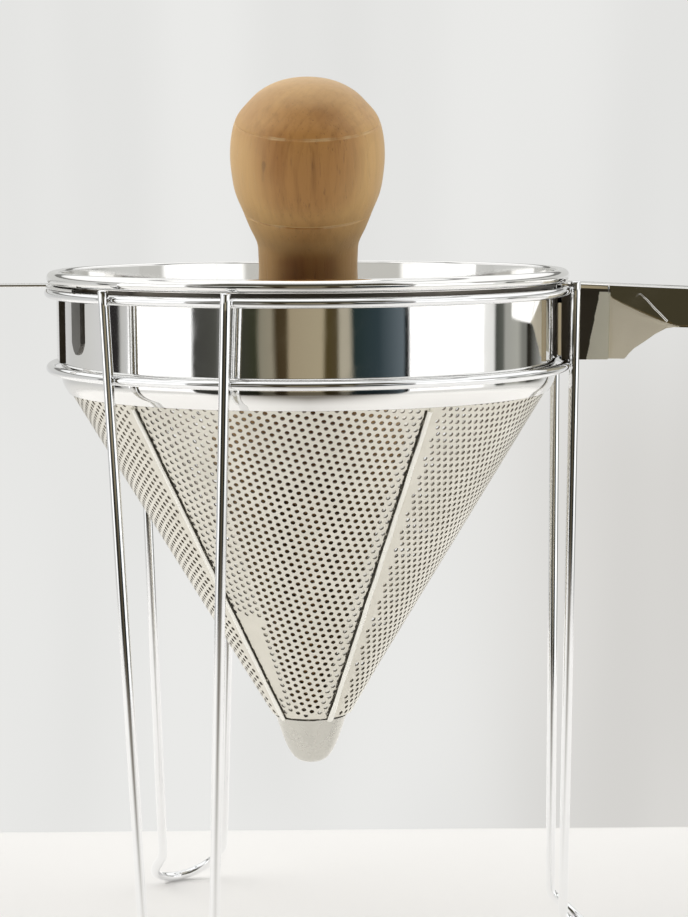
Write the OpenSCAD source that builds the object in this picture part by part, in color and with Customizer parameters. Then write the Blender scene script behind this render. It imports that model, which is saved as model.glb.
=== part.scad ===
// Conical sieve in a three-legged wire stand, with a turned wooden pestle.
// Millimetres. +Z up, the table is z = 0 and the stand's axis is the Z axis.
// The long handle points along +X, the helper hook along -X, and the front is -Y.

/* [Cone] */
// Half angle of the perforated cone, measured from the vertical
cone_half_angle = 30.9; // [30.5:0.1:31.5]
// Outer radius of the cone at its lower edge
cone_bottom_r = 15; // [14.5:0.1:15.5]
// Height of the cone's lower edge above the table
cone_bottom_z = 95.3; // [94:0.1:96]
// Thickness of the perforated sheet
cone_sheet = 0.6; // [0.5:0.05:0.6]
// Azimuth of the seam on the right-hand side
first_seam_az = 10; // [0:1:20]
// Width of a folded seam rib
rib_w = 3.2; // [2.6:0.1:3.6]
// Height of a folded seam rib above the sheet
rib_h = 1.2; // [0.8:0.1:1.4]

/* [Tip cap] */
// Depth of the plain cap below the cone's lower edge
cap_depth = 19.5; // [17:0.5:20.5]
// Thickness of the cap's sheet
cap_sheet = 0.7; // [0.5:0.1:0.8]

/* [Collar] */
// Outer radius of the plain band
band_r = 92.5; // [92.3:0.1:92.6]
// Thickness of the band's sheet
band_sheet = 0.8; // [0.6:0.1:0.9]
// Outer radius of the rolled rim
rim_r = 97.5; // [97:0.1:97.6]
// Height of the rolled rim's middle above the table
rim_z = 261.5; // [261.4:0.1:262]
// Height of the rolled rim's section
rim_h = 4.9; // [4.4:0.1:5]
// Radius of the bend between the band and the cone skirt
skirt_bend_r = 10; // [8:0.5:10]
// Height of the skirt's lower edge above the table
skirt_z = 219; // [217:0.2:220]

/* [Handle] */
// Length of the handle from the stand's axis to its end
handle_reach = 250; // [220:1:280]
// Width of the handle
handle_w = 20; // [18:0.5:20]
// Thickness of the handle's sheet
handle_sheet = 1.2; // [1:0.1:1.3]
// Downward slope of the handle
handle_slope = 2.8; // [2:0.1:3]
// Height of the handle's top edge at the rim
handle_top_z = 258.7; // [258.2:0.1:258.9]
// Radius of the handle's long top corners
handle_corner_r = 1.4; // [1.4:0.1:4]
// Height of the grip's side
grip_h = 14.9; // [13:0.1:17]
// Radius of the hanging hole
hang_hole_r = 4; // [3:0.5:5]
// Half the angle the bracket wings cover on the band
wing_half_angle = 23.5; // [20:0.5:25]

/* [Rest hook] */
// Distance of the hook's far end from the stand's axis
hook_reach = 142; // [140:1:148]
// Width of the hook's straight strip
hook_w = 12; // [11:0.5:13]
// Thickness of the hook's strip
hook_sheet = 1; // [0.8:0.1:1]
// Half the angle the hook's middle plate covers on the band
plate_half_angle = 13.5; // [11:0.5:15]
// Width of the tongues that lie on the band
tongue_w = 8.4; // [7:0.2:10]
// Azimuth offset of each tongue from the hook's middle
tongue_az = 27; // [25:0.5:29]

/* [Stand] */
// Centreline radius of the upper ring
upper_ring_r = 96.6; // [96.5:0.1:96.8]
// Centreline radius of the lower ring
lower_ring_r = 96.3; // [96.2:0.1:96.4]
// Height of the upper ring
upper_ring_z = 256; // [255.7:0.1:256.1]
// Height of the lower ring
lower_ring_z = 228.2; // [227.8:0.1:228.3]
// Radius of the ring wire
ring_wire_r = 1.8; // [1.7:0.05:1.8]
// Radius of the leg wire
leg_wire_r = 1.9; // [1.8:0.05:2]
// Half the distance between a leg's two wires at the toe bend
leg_foot_half = 14.4; // [13.5:0.1:15.5]
// Height of the toe bend above the table
toe_bend_z = 19.3; // [18:0.1:22]
// Outward angle of the toe from the vertical
toe_angle = 47; // [42:1:50]
// Bend radius between the leg and the toe
toe_bend_r = 6; // [5:0.5:7]

/* [Pestle] */
// Half angle of the pestle's tapered body
body_half_angle = 15.4; // [15:0.1:15.8]
// Radius of the pestle's rounded tip
pestle_tip_r = 10; // [9.5:0.1:11]
// Largest radius of the tapered body
shoulder_r = 36; // [34:0.5:37]
// Radius of the neck below the knob
neck_r = 17.5; // [16:0.25:18]
// Radius of the knob
knob_r = 26.8; // [26:0.2:28]
// Distance from the point where the pestle's taper would meet to the knob's top
pestle_top = 269.3; // [266:0.1:273]
// Clearance between the pestle and the cone wall
wall_gap = 0.15; // [0.1:0.05:0.4]

/* [Hidden] */
$fn = 96;
eps = 0.05;                         // small gap or overlap between neighbouring faces

steel = [0.80, 0.81, 0.82];
mirror_steel = [0.74, 0.75, 0.77];
sieve_steel = [0.70, 0.69, 0.66];
wood = [0.72, 0.52, 0.35];

// ---------- helpers ----------

function unit(v) = v / norm(v);
function reversed(v) = [for (i = [len(v) - 1 : -1 : 0]) v[i]];

// points along an arc from one angle to another
function arc(centre, radius, from, to, steps) = [
    for (k = [0 : steps])
        let (a = from + (to - from) * k / steps)
            centre + radius * [cos(a), sin(a)]
];

// a straight round wire between two points
module rod(start, end, wire_r) {
    span = end - start;
    length = norm(span);
    translate(start)
        rotate([0, acos(span[2] / length), atan2(span[1], span[0])])
            cylinder(r = wire_r, h = length, $fn = 48);
}

// a bent round wire: start_dir points from the bend's centre to its start,
// travel_dir is the wire's direction there
module bend(centre, start_dir, travel_dir, radius, angle, wire_r) {
    axis = cross(start_dir, travel_dir);
    multmatrix([
        [start_dir[0], travel_dir[0], axis[0], centre[0]],
        [start_dir[1], travel_dir[1], axis[1], centre[1]],
        [start_dir[2], travel_dir[2], axis[2], centre[2]],
        [0, 0, 0, 1]
    ])
        rotate_extrude(angle = angle, $fn = 96)
            translate([radius, 0]) circle(r = wire_r, $fn = 48);
}

// ---------- stand ----------

// indices into the three leg tables
FRONT_LEFT = 0;
RIGHT = 1;
REAR_LEFT = 2;
leg_az = [239.3, 3.9, 120.5];
leg_top_half = [25.2, 22, 22.8];    // half the distance between a leg's wires at the top
leg_foot_r = [92.3, 95.4, 98.2];    // distance of the toe bend from the stand's axis

leg_overlap = 0.4;                  // how far the leg wires sink into the upper ring
leg_contact_r = upper_ring_r + ring_wire_r + leg_wire_r - leg_overlap;
leg_top_z = upper_ring_z + ring_wire_r + 1.8;
joint_gap = 0.3;                    // straight wires stop this far inside their joints
ring_overrun = 1.5;                 // degrees the open ring runs past its last leg wire
open_half_angle = asin(leg_top_half[RIGHT] / leg_contact_r) - ring_overrun;

// ring that is open between the right leg's two wires
module upper_ring() {
    color(steel)
        translate([0, 0, upper_ring_z]) rotate([0, 0, leg_az[RIGHT] + open_half_angle])
            rotate_extrude(angle = 360 - 2 * open_half_angle, $fn = 180)
                translate([upper_ring_r, 0]) circle(r = ring_wire_r, $fn = 48);
}

module lower_ring() {
    color(steel)
        translate([0, 0, lower_ring_z])
            rotate_extrude($fn = 180)
                translate([lower_ring_r, 0]) circle(r = ring_wire_r, $fn = 48);
}

// one hairpin leg: two wires run down from the rings, bend outward and join in a round toe
module leg(i) {
    top_half = leg_top_half[i];
    top_r = sqrt(leg_contact_r * leg_contact_r - top_half * top_half);
    toe_dir = [sin(toe_angle), 0, -cos(toe_angle)];
    rotate([0, 0, leg_az[i]]) union() {
        for (side = [-1, 1]) {
            top = [top_r, side * top_half, leg_top_z];
            foot = [leg_foot_r[i], side * leg_foot_half, toe_bend_z];
            leg_dir = unit(foot - top);
            to_centre = unit(toe_dir - (leg_dir * toe_dir) * leg_dir);
            turn = acos(leg_dir * toe_dir);
            centre = foot + toe_bend_r * to_centre;
            bend_end = centre + toe_bend_r * (sin(turn) * leg_dir - cos(turn) * to_centre);
            // the round toe's lowest point reaches the table
            toe_l = (bend_end[2] - leg_wire_r) / cos(toe_angle) - abs(bend_end[1]);
            toe_end = bend_end + toe_l * toe_dir;

            rod(top, foot - joint_gap * leg_dir, leg_wire_r);
            bend(centre, -to_centre, leg_dir, toe_bend_r, turn, leg_wire_r);
            rod(bend_end + joint_gap * toe_dir, toe_end - joint_gap * toe_dir, leg_wire_r);
            for (joint = [foot, bend_end, toe_end])
                translate(joint) sphere(r = leg_wire_r + eps, $fn = 48);
            // one half turn joins both wires
            if (side > 0)
                bend([toe_end[0], 0, toe_end[2]], [0, 1, 0], toe_dir, toe_end[1], 180, leg_wire_r);
        }
    }
}

module leg_front_left() { color(steel) leg(FRONT_LEFT); }
module leg_right() { color(steel) leg(RIGHT); }
module leg_rear_left() { color(steel) leg(REAR_LEFT); }

// ---------- cone ----------

slope = tan(cone_half_angle);       // radius gained per millimetre of height
function cone_r(z) = cone_bottom_r + (z - cone_bottom_z) * slope;
cone_sheet_x = cone_sheet / cos(cone_half_angle);       // sheet thickness measured horizontally

// the collar's skirt lies on the cone, its outer face this far out horizontally
skirt_offset = (band_sheet + eps) / cos(cone_half_angle);
// where the skirt's outer cone line would meet the band
corner_z = cone_bottom_z + (band_r - skirt_offset - cone_bottom_r) / slope;
bend_tangent = skirt_bend_r * tan(cone_half_angle / 2);
cone_top_z = corner_z - bend_tangent * cos(cone_half_angle);

cone_panels = 5;
panel_angle = 360 / cone_panels;
panel_gap = 0.05;                   // degrees left free at each panel edge
function seam_az(k) = first_seam_az + k * panel_angle;

// the panel that follows seam k counter-clockwise, seen from above
module cone_panel(k) {
    bottom_r = cone_r(cone_bottom_z);
    top_r = cone_r(cone_top_z);
    color(sieve_steel) rotate([0, 0, seam_az(k) + panel_gap])
        rotate_extrude(angle = panel_angle - 2 * panel_gap, $fn = 180)
            polygon([
                [bottom_r - cone_sheet_x, cone_bottom_z],
                [bottom_r, cone_bottom_z],
                [top_r, cone_top_z],
                [top_r - cone_sheet_x, cone_top_z]
            ]);
}

module cone_panel_rear_right() { cone_panel(0); }
module cone_panel_rear_left() { cone_panel(1); }
module cone_panel_left() { cone_panel(2); }
module cone_panel_front() { cone_panel(3); }
module cone_panel_right() { cone_panel(4); }

rib_foot_z = cone_bottom_z - 1.4;   // the ribs reach a little below the cone
rib_top_z = skirt_z - 0.4;          // and stop just below the skirt
rib_l = (rib_top_z - rib_foot_z) / cos(cone_half_angle);
rib_sink = 0.2;                     // depth of a rib below the cone's outer face

// a folded seam that lies on the cone over the joint between two panels, with a rounded foot
module seam_rib(k) {
    color(sieve_steel) rotate([0, 0, seam_az(k)])
        translate([cone_r(rib_foot_z), 0, rib_foot_z])
            rotate([0, cone_half_angle, 0]) translate([rib_h, 0, 0]) rotate([0, -90, 0])
                linear_extrude(height = rib_h + rib_sink) union() {
                    translate([rib_w / 2, -rib_w / 2]) square([rib_l - rib_w / 2, rib_w]);
                    translate([rib_w / 2, 0]) circle(d = rib_w, $fn = 32);
                }
}

module seam_rib_right() { seam_rib(0); }
module seam_rib_rear() { seam_rib(1); }
module seam_rib_left() { seam_rib(2); }
module seam_rib_front_left() { seam_rib(3); }
module seam_rib_front_right() { seam_rib(4); }

// ---------- collar ----------

curl_r = rim_h / 2;
curl_inner_x = band_r - band_sheet + curl_r;            // centres of the curl's two arcs
curl_outer_x = rim_r - curl_r;
curl_end_gap = 0.6;                 // the curl's free edge stops this far outside the band

// section of skirt, bend and band, at a depth below the outer face
function wall_line(depth) = concat(
    [[cone_r(skirt_z) + skirt_offset - depth * cos(cone_half_angle),
        skirt_z + depth * sin(cone_half_angle)]],
    arc([band_r - skirt_bend_r, corner_z + bend_tangent], skirt_bend_r - depth,
        from = -cone_half_angle, to = 0, steps = 8)
);

// section of the rolled rim, at a depth below the curl's outside
function curl_line(depth) = concat(
    arc([curl_inner_x, rim_z], curl_r - depth, from = 180, to = 90, steps = 8),
    arc([curl_outer_x, rim_z], curl_r - depth, from = 90, to = -90, steps = 16),
    [[band_r + curl_end_gap, rim_z - curl_r + depth]]
);

module rim_collar() {
    // the band's outer face becomes the inside of the curl
    color(mirror_steel) rotate_extrude($fn = 180)
        polygon(concat(
            wall_line(band_sheet), curl_line(0),
            reversed(curl_line(band_sheet)), reversed(wall_line(0))
        ));
}

// ---------- tip cap ----------

cap_top_r = cone_bottom_r - cone_sheet_x - 0.02;        // just clear of the cone's inside
lip_h = 2.6;                        // height of the lip inside the cone
lip_overlap = 0.01;                 // the lip reaches this far down into the cap
// exponents that shape the cap as a blunt cone with a round bottom
cap_r_power = 0.6;
cap_z_power = 2.86;
cap_steps = 14;

// the cap's section from its bottom to its top edge, inset from the outer face
function cap_line(inset) = [
    for (k = [0 : cap_steps])
        let (a = 90 * k / cap_steps) [
            (cap_top_r - inset) * pow(sin(a), cap_r_power),
            cone_bottom_z - (cap_depth - inset) * pow(cos(a), cap_z_power)
        ]
];

module tip_cap() {
    lip_top_r = cap_top_r + lip_h * slope;
    lip_top_z = cone_bottom_z + lip_h;
    color(mirror_steel) rotate_extrude($fn = 96) union() {
        polygon(concat(cap_line(0), reversed(cap_line(cap_sheet))));
        // lip that follows the inside of the cone
        polygon([
            [cap_top_r - cap_sheet, cone_bottom_z - lip_overlap],
            [cap_top_r, cone_bottom_z - lip_overlap],
            [cap_top_r, cone_bottom_z],
            [lip_top_r, lip_top_z],
            [lip_top_r - cap_sheet, lip_top_z],
            [cap_top_r - cap_sheet, cone_bottom_z]
        ]);
    }
}

// ---------- handle ----------

handle_root_x = 94.2;               // where the handle starts, just outside the band
side_start_x = handle_root_x - 1;   // the side outline runs past both ends of the plan
side_end_x = handle_reach + 1;
root_bottom_z = lower_ring_z + ring_wire_r + eps;       // the root rests on the lower ring
grip_x = 134;                       // where the grip's straight lower edge starts
grip_end_rise = 2;                  // how much shallower the grip's side is at its far end
handle_slope_x = 97;                // where the top edge is handle_top_z high
end_r = handle_w / 2;
hang_hole_x = handle_reach - end_r - 2;

function top_at(x) = handle_top_z - (x - handle_slope_x) * tan(handle_slope);

// the root's lower edge: x, height above root_bottom_z
root_line = [[side_start_x, 0], [118.5, 0], [119.8, 2.6], [125.2, 6.4]];
// the handle's whole lower edge: x, z
lower_line = concat(
    [for (p = root_line) [p[0], root_bottom_z + p[1]]],
    [
        [grip_x, top_at(grip_x) - grip_h],
        [side_end_x, top_at(side_end_x) - grip_h + grip_end_rise]
    ]
);

// side outline; an inset one is lowered at the top and runs out through the underside
module handle_side(inset) {
    drop = inset > 0 ? 5 : 0;
    polygon(concat(
        [for (p = lower_line) [p[0], p[1] - drop]],
        [
            [side_end_x, top_at(side_end_x) - inset],
            [side_start_x, top_at(side_start_x) - inset]
        ]
    ));
}

// plan outline with a round end
module handle_plan(inset, start_x) {
    end_x = handle_reach - end_r;
    union() {
        translate([start_x, -handle_w / 2 + inset]) square([end_x - start_x, handle_w - 2 * inset]);
        translate([end_x, 0]) circle(r = end_r - inset, $fn = 64);
    }
}

// long bar with rounded top edges, following the handle's slope
module rounded_bar(inset) {
    depth = 60;
    corner_y = handle_w / 2 - handle_corner_r;
    translate([handle_slope_x, 0, handle_top_z]) rotate([0, handle_slope, 0])
        translate([-20, 0, 0]) rotate([90, 0, 90])
            linear_extrude(height = handle_reach - 60) union() {
                translate([-handle_w / 2 + inset, -depth])
                    square([handle_w - 2 * inset, depth - handle_corner_r]);
                translate([-corner_y, -depth]) square([2 * corner_y, depth - inset]);
                for (side = [-1, 1])
                    translate([side * corner_y, -handle_corner_r])
                        circle(r = handle_corner_r - inset, $fn = 48);
            }
}

// the handle as a full body, inset from its outer faces
module handle_solid(inset, start_x) {
    intersection() {
        rotate([90, 0, 0]) translate([0, 0, -30])
            linear_extrude(height = 60) handle_side(inset);
        translate([0, 0, 150])
            linear_extrude(height = 150) handle_plan(inset, start_x);
        rounded_bar(inset);
    }
}

// sheet channel, open below and towards the band, with the hanging hole near its end
module handle() {
    color(mirror_steel) difference() {
        handle_solid(0, handle_root_x);
        handle_solid(handle_sheet, handle_root_x - 3);
        translate([hang_hole_x, 0, top_at(hang_hole_x)]) rotate([0, handle_slope, 0])
            cylinder(r = hang_hole_r, h = 12, center = true, $fn = 48);
    }
}

// ---------- handle bracket ----------

bracket_sheet = 1;
bracket_z = root_bottom_z + 1.4;
bracket_h = 25;
flange_y = handle_w / 2 - handle_sheet + eps;           // outer faces of the flanges
flange_x = 85;                      // flange start, before the band's inside is cut away
flange_l = 28;
flange_cut_x = 95;
// sloping cuts over the flanges: start measured from flange_cut_x, height of the cut
flange_cuts = [[-1, 255.2], [0, 251.5]];

// wings that wrap the band and two flanges that reach into the handle's root
module handle_bracket() {
    wing_edge = 130 * [cos(wing_half_angle), sin(wing_half_angle)];
    color(mirror_steel) difference() {
        translate([0, 0, bracket_z]) linear_extrude(height = bracket_h) difference() {
            union() {
                // wings
                intersection() {
                    circle(r = band_r + bracket_sheet - eps, $fn = 180);
                    polygon([[0, 0], [wing_edge[0], -wing_edge[1]], wing_edge]);
                }
                // flanges
                for (y = [-flange_y, flange_y - bracket_sheet])
                    translate([flange_x, y]) square([flange_l, bracket_sheet]);
            }
            circle(r = band_r - eps, $fn = 180);
        }
        // the flanges' upper edges follow the underside of the handle
        for (cut = flange_cuts)
            translate([flange_cut_x, -20, cut[1]]) rotate([0, handle_slope, 0])
                translate([cut[0], 0, 0]) cube([60, 40, 20]);
    }
}

// ---------- rest hook ----------

hook_z = upper_ring_z + ring_wire_r + eps;              // the strip lies over the upper ring
hook_mid_z = hook_z + hook_sheet / 2;                   // the folded parts end inside the strip
hook_end_x = hook_reach - hook_w / 2;
hook_root_x = 80;                   // strip start, before the band's inside is cut away
cross_out = 5.2;                    // the crosspiece's edges, measured outward from the band
cross_gap = 0.12;
cross_half_angle = tongue_az + 4;
cross_cut_x = 120;                  // reach of the wedge that trims the crosspiece
plate_z = lower_ring_z + ring_wire_r + 0.6;             // just above the lower ring
plate_thickness = 1.45;
tongue_thickness = hook_sheet - 0.1;
tongue_blank_z = 226;               // lower edge of a tongue before its outline is cut
// a tongue's outline: distance from its middle as a share of tongue_w, z
tongue_outline = [
    [-0.5, 239.4], [-0.28, 236.2], [0, 235], [0.28, 236.2], [0.5, 239.4],
    [0.5, 270], [-0.5, 270]
];

// curved strip on the band's outside, centred on the X axis
module band_strip(half_angle, bottom_z, thickness) {
    rotate([0, 0, -half_angle]) rotate_extrude(angle = 2 * half_angle, $fn = 180)
        translate([band_r - eps, bottom_z]) square([thickness, hook_mid_z - bottom_z]);
}

module rest_hook() {
    cross_cut_y = cross_cut_x * tan(cross_half_angle);
    color(mirror_steel) union() {
        // straight strip with a round end, and a crosspiece along the band
        translate([0, 0, hook_z]) linear_extrude(height = hook_sheet) difference() {
            union() {
                translate([-hook_end_x, 0]) circle(d = hook_w, $fn = 64);
                translate([-hook_end_x, -hook_w / 2]) square([hook_end_x - hook_root_x, hook_w]);
                intersection() {
                    circle(r = band_r + cross_out, $fn = 180);
                    polygon([[0, 0], [-cross_cut_x, -cross_cut_y], [-cross_cut_x, cross_cut_y]]);
                }
            }
            circle(r = band_r + cross_gap, $fn = 180);
        }
        // middle plate that stands on the band, folded down from the crosspiece
        rotate([0, 0, 180]) band_strip(plate_half_angle, plate_z, plate_thickness);
        // two tongues that lie on the band
        for (side = [-1, 1]) rotate([0, 0, 180 + side * tongue_az]) intersection() {
            band_strip(6, tongue_blank_z, tongue_thickness);
            translate([80, 0, 0]) rotate([90, 0, 90]) linear_extrude(height = 30)
                polygon([for (p = tongue_outline) [p[0] * tongue_w, p[1]]]);
        }
    }
}

// ---------- pestle ----------

// the pestle leans to the front until its body lies along the cone's wall
lean = cone_half_angle - body_half_angle;
inner_apex_z = cone_bottom_z - cone_bottom_r / slope + cone_sheet / sin(cone_half_angle);
pestle_apex_z = inner_apex_z + wall_gap / sin(cone_half_angle);

tip_centre = pestle_tip_r / sin(body_half_angle);       // distance from the taper's apex
shoulder = shoulder_r / tan(body_half_angle);           // where the taper reaches shoulder_r
knob = pestle_top - knob_r + 0.5;                       // the knob's widest section

// stations along the pestle's axis: distance from the taper's apex, radius
stations = [
    // shoulder
    [shoulder - 3, shoulder_r - 3 * tan(body_half_angle)],
    [shoulder + 2, shoulder_r],
    [shoulder + 9, shoulder_r - 1.5],
    [shoulder + 18, shoulder_r - 8],
    [shoulder + 30, shoulder_r - 15],
    // neck
    [knob - 62, neck_r + 1.2],
    [knob - 44, neck_r],
    [knob - 36, neck_r],
    [knob - 31, neck_r + 0.5],
    [knob - 25, neck_r + 3.1],
    [knob - 19, neck_r + 5.4],
    // knob
    [knob - 13, knob_r - 1.6],
    [knob - 7, knob_r - 0.5],
    [knob, knob_r],
    [knob + 7, knob_r - 0.6],
    [knob + 13, knob_r - 2.4],
    [knob + 18, knob_r - 6.4],
    [knob + 21.5, knob_r - 10.1],
    [knob + 24.3, knob_r - 15.2],
    [knob + 25.8, knob_r - 20.8],
    [pestle_top, 0]
];

// Catmull-Rom curve between p1 and p2, with p0 and p3 as their neighbours
function spline(p0, p1, p2, p3, t) = 0.5 * (
    2 * p1
    + (p2 - p0) * t
    + (2 * p0 - 5 * p1 + 4 * p2 - p3) * t * t
    + (3 * p1 - p0 - 3 * p2 + p3) * t * t * t
);

// smooth curve through the points, without the last one
function smooth_line(points, steps) = [
    for (i = [0 : len(points) - 2], k = [0 : steps - 1])
        spline(
            points[max(i - 1, 0)], points[i], points[i + 1],
            points[min(i + 2, len(points) - 1)], k / steps
        )
];

module pestle() {
    tip_line = arc([0, tip_centre], pestle_tip_r, from = -90, to = -body_half_angle, steps = 10);
    // the radius stays above zero until the end point on the axis
    body_line = [for (p = smooth_line(stations, 5)) [max(p[1], 0.01), p[0]]];
    color(wood) translate([0, 0, pestle_apex_z]) rotate([lean, 0, 0])
        rotate_extrude($fn = 96)
            polygon(concat(tip_line, body_line, [[0, pestle_top]]));
}

upper_ring();
lower_ring();
leg_front_left();
leg_rear_left();
leg_right();
rim_collar();
cone_panel_front();
cone_panel_right();
cone_panel_rear_right();
cone_panel_rear_left();
cone_panel_left();
seam_rib_front_left();
seam_rib_front_right();
seam_rib_right();
seam_rib_rear();
seam_rib_left();
tip_cap();
handle();
handle_bracket();
rest_hook();
pestle();
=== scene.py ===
import math

import bpy
import numpy as np
from mathutils import Matrix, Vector
from mathutils.geometry import delaunay_2d_cdt

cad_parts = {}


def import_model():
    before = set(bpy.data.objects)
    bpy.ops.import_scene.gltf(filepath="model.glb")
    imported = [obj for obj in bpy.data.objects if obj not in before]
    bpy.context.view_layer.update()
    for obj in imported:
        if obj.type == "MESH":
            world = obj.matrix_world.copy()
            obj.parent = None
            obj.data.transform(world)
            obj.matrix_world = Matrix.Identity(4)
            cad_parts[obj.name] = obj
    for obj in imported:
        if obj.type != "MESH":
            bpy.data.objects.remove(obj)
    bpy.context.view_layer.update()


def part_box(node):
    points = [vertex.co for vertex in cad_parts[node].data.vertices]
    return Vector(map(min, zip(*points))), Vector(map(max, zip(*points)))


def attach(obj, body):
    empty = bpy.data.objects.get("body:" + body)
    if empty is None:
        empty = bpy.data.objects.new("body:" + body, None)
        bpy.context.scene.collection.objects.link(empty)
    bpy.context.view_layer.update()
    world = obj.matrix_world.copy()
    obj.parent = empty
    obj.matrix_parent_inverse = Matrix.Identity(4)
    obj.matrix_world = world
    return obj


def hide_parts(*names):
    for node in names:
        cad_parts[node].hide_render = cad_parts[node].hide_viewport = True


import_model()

scene = bpy.context.scene
MM = 0.001


# ---------------------------------------------------------------- dimensions, in millimetres
def extent(node, axis):
    """The lowest and highest coordinate of a CAD piece along an axis."""
    low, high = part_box(node)
    return float((np.array(low) / MM)[axis]), float((np.array(high) / MM)[axis])


CONE_HALF = math.radians(30.9)                # between the axis and the wall
SIN_CONE, COS_CONE, TAN_CONE = math.sin(CONE_HALF), math.cos(CONE_HALF), math.tan(CONE_HALF)
CONE_LOW_R = 15.0
CONE_LOW, CONE_HIGH = extent("cone_panel_front", 2)
APEX_Z = CONE_LOW - CONE_LOW_R / TAN_CONE
SHEET = 0.6                                   # thickness of the cone's sheet
SEAM_STEP = 72                                # degrees
SEAMS = [10 + SEAM_STEP * i for i in range(5)]
SEAM_GAP = 0.06                               # degrees between a panel's edge and its seam

HOLE_PITCH, HOLE_R, HOLE_SIDES = 3.10, 0.87, 12

BAND_R, BAND_T = 92.5, 0.8
RIM_R, RIM_H = extent("rim_collar", 0)[1], 4.9
RIM_Z = extent("rim_collar", 2)[1] - RIM_H / 2
SKIRT_Z, SKIRT_BEND = 219.0, 10.0

RING_WIRE_R = 1.8
RING_DRAWN_R = RING_WIRE_R - 0.02
UPPER_RING_Z = extent("upper_ring", 2)[1] - RING_WIRE_R
LOWER_RING_Z = extent("lower_ring", 2)[1] - RING_WIRE_R
UPPER_RING_R, LOWER_RING_R = 96.6, 96.3
LEG_WIRE_R = 1.9
LEG_DRAWN_R = 1.885
# azimuth in degrees, half width at the top, distance of the foot from the axis
LEGS = {
    "front_left": (239.3, 25.2, 92.3),
    "right": (3.9, 22.0, 95.4),
    "rear_left": (120.5, 22.8, 98.2),
}
LEG_CONTACT = UPPER_RING_R + RING_WIRE_R + LEG_WIRE_R - 0.4
LEG_TOP = extent("leg_right", 2)[1] - 0.05
FOOT_HALF, TOE_Z, TOE_R = 14.4, 19.3, 6.0
TOE_TILT = math.radians(47)                   # the toe's slope, from straight down

HOOK_WIDTH, HOOK_T, HOOK_REACH = 11.96, 1.0, 141.96
HOOK_Z = UPPER_RING_Z + RING_WIRE_R + 0.05

HANDLE_START, HANDLE_REACH = extent("handle", 0)
HANDLE_HALF, HANDLE_T = 20.0 / 2, 1.2
HANDLE_TOP, HANDLE_TOP_X = 258.7, 97          # the top edge's height at this x
HANDLE_SLOPE = math.tan(math.radians(2.8))
HANDLE_ROUND_X = HANDLE_REACH - HANDLE_HALF   # the round end starts here
HANGING_HOLE_R = 4.0
ROOT_Z = extent("handle", 2)[0]

PESTLE_HALF = math.radians(15.4)              # between the working body's axis and its side
PESTLE_TIP_R, SHOULDER_R, NECK_R, KNOB_R, PESTLE_TOP = 10.0, 36.0, 17.5, 26.8, 269.3
KNOB_Z = PESTLE_TOP - KNOB_R + 0.5
TURNED_LINES = [KNOB_Z + 11.4, KNOB_Z - 19.9]

FLOOR_HALF = 3000


# ---------------------------------------------------------------- mesh helpers
def add_object(name, mesh):
    ob = bpy.data.objects.new(name, mesh)
    scene.collection.objects.link(ob)
    return ob


def make(name, verts, faces, mats, face_mats=None, smooth=True, sharp=None):
    """An object from points in millimetres; sharp is the crease angle in degrees."""
    mesh = bpy.data.meshes.new(name)
    mesh.from_pydata([tuple(float(c) * MM for c in v) for v in verts], [],
                     [tuple(int(i) for i in face) for face in faces])
    mesh.validate()
    for mat in mats:
        mesh.materials.append(mat)
    if face_mats is not None:
        mesh.polygons.foreach_set("material_index", np.array(face_mats, np.int32))
    mesh.polygons.foreach_set("use_smooth", [smooth] * len(mesh.polygons))
    if sharp is not None:
        mesh.set_sharp_from_angle(angle=math.radians(sharp))
    mesh.update()
    return add_object(name, mesh)


def register(ob, mover, node=None):
    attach(ob, mover)
    if node:
        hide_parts(node)


def unit(vector):
    vector = np.array(vector, float)
    return vector / np.linalg.norm(vector)


def smoothstep(value, start, end):
    t = min(1.0, max(0.0, (value - start) / (end - start)))
    return t * t * (3 - 2 * t)


def loft(rows, size, closed=False, flip=False):
    """Faces joining rows of closed sections, capped unless the rows form a loop."""
    faces = []
    for i in range(rows if closed else rows - 1):
        j = (i + 1) % rows
        for p in range(size):
            q = (p + 1) % size
            faces.append((i * size + p, i * size + q, j * size + q, j * size + p))
    if not closed:
        faces.append(tuple(reversed(range(size))))
        faces.append(tuple((rows - 1) * size + p for p in range(size)))
    return [face[::-1] for face in faces] if flip else faces


def sweep(path, radius, sides, closed=False, taper=None):
    """Carries a circle along a path with parallel transport; taper scales it point by point."""
    points = np.array(path, float)
    if closed:
        tangents = np.roll(points, -1, 0) - np.roll(points, 1, 0)
    else:
        tangents = np.gradient(points, axis=0)
    tangents /= np.linalg.norm(tangents, axis=1)[:, None]
    up = (0, 0, 1.0) if abs(tangents[0][2]) < 0.9 else (1.0, 0, 0)
    across = unit(np.cross(tangents[0], up))
    turns = [2 * math.pi * k / sides for k in range(sides)]
    section = np.array([(radius * math.cos(a), radius * math.sin(a)) for a in turns])
    verts = []
    for point, tangent, scale in zip(points, tangents, taper or [1.0] * len(points)):
        across = unit(across - (across @ tangent) * tangent)
        beside = np.cross(tangent, across)
        verts += [point + u * across + v * beside for u, v in section * scale]
    return verts, loft(len(points), sides, closed)


def wire(path, radius, sides, dome):
    """A round wire whose ends are softly rounded over the length dome."""
    points = [np.array(p, float) for p in path]
    first, last = unit(points[1] - points[0]), unit(points[-1] - points[-2])
    steps = [math.radians(a) for a in (0, 25, 50, 70, 84)]
    head = [points[0] + first * dome * (1 - math.sin(a)) for a in reversed(steps)]
    tail = [points[-1] - last * dome * (1 - math.sin(a)) for a in steps]
    scales = [math.cos(a) * 0.45 + 0.55 * min(1, math.cos(a) * 1.6) for a in steps]
    body = points[1:-1]
    taper = scales[::-1] + [1.0] * len(body) + scales
    return sweep(head + body + tail, radius, sides, taper=taper)


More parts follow.
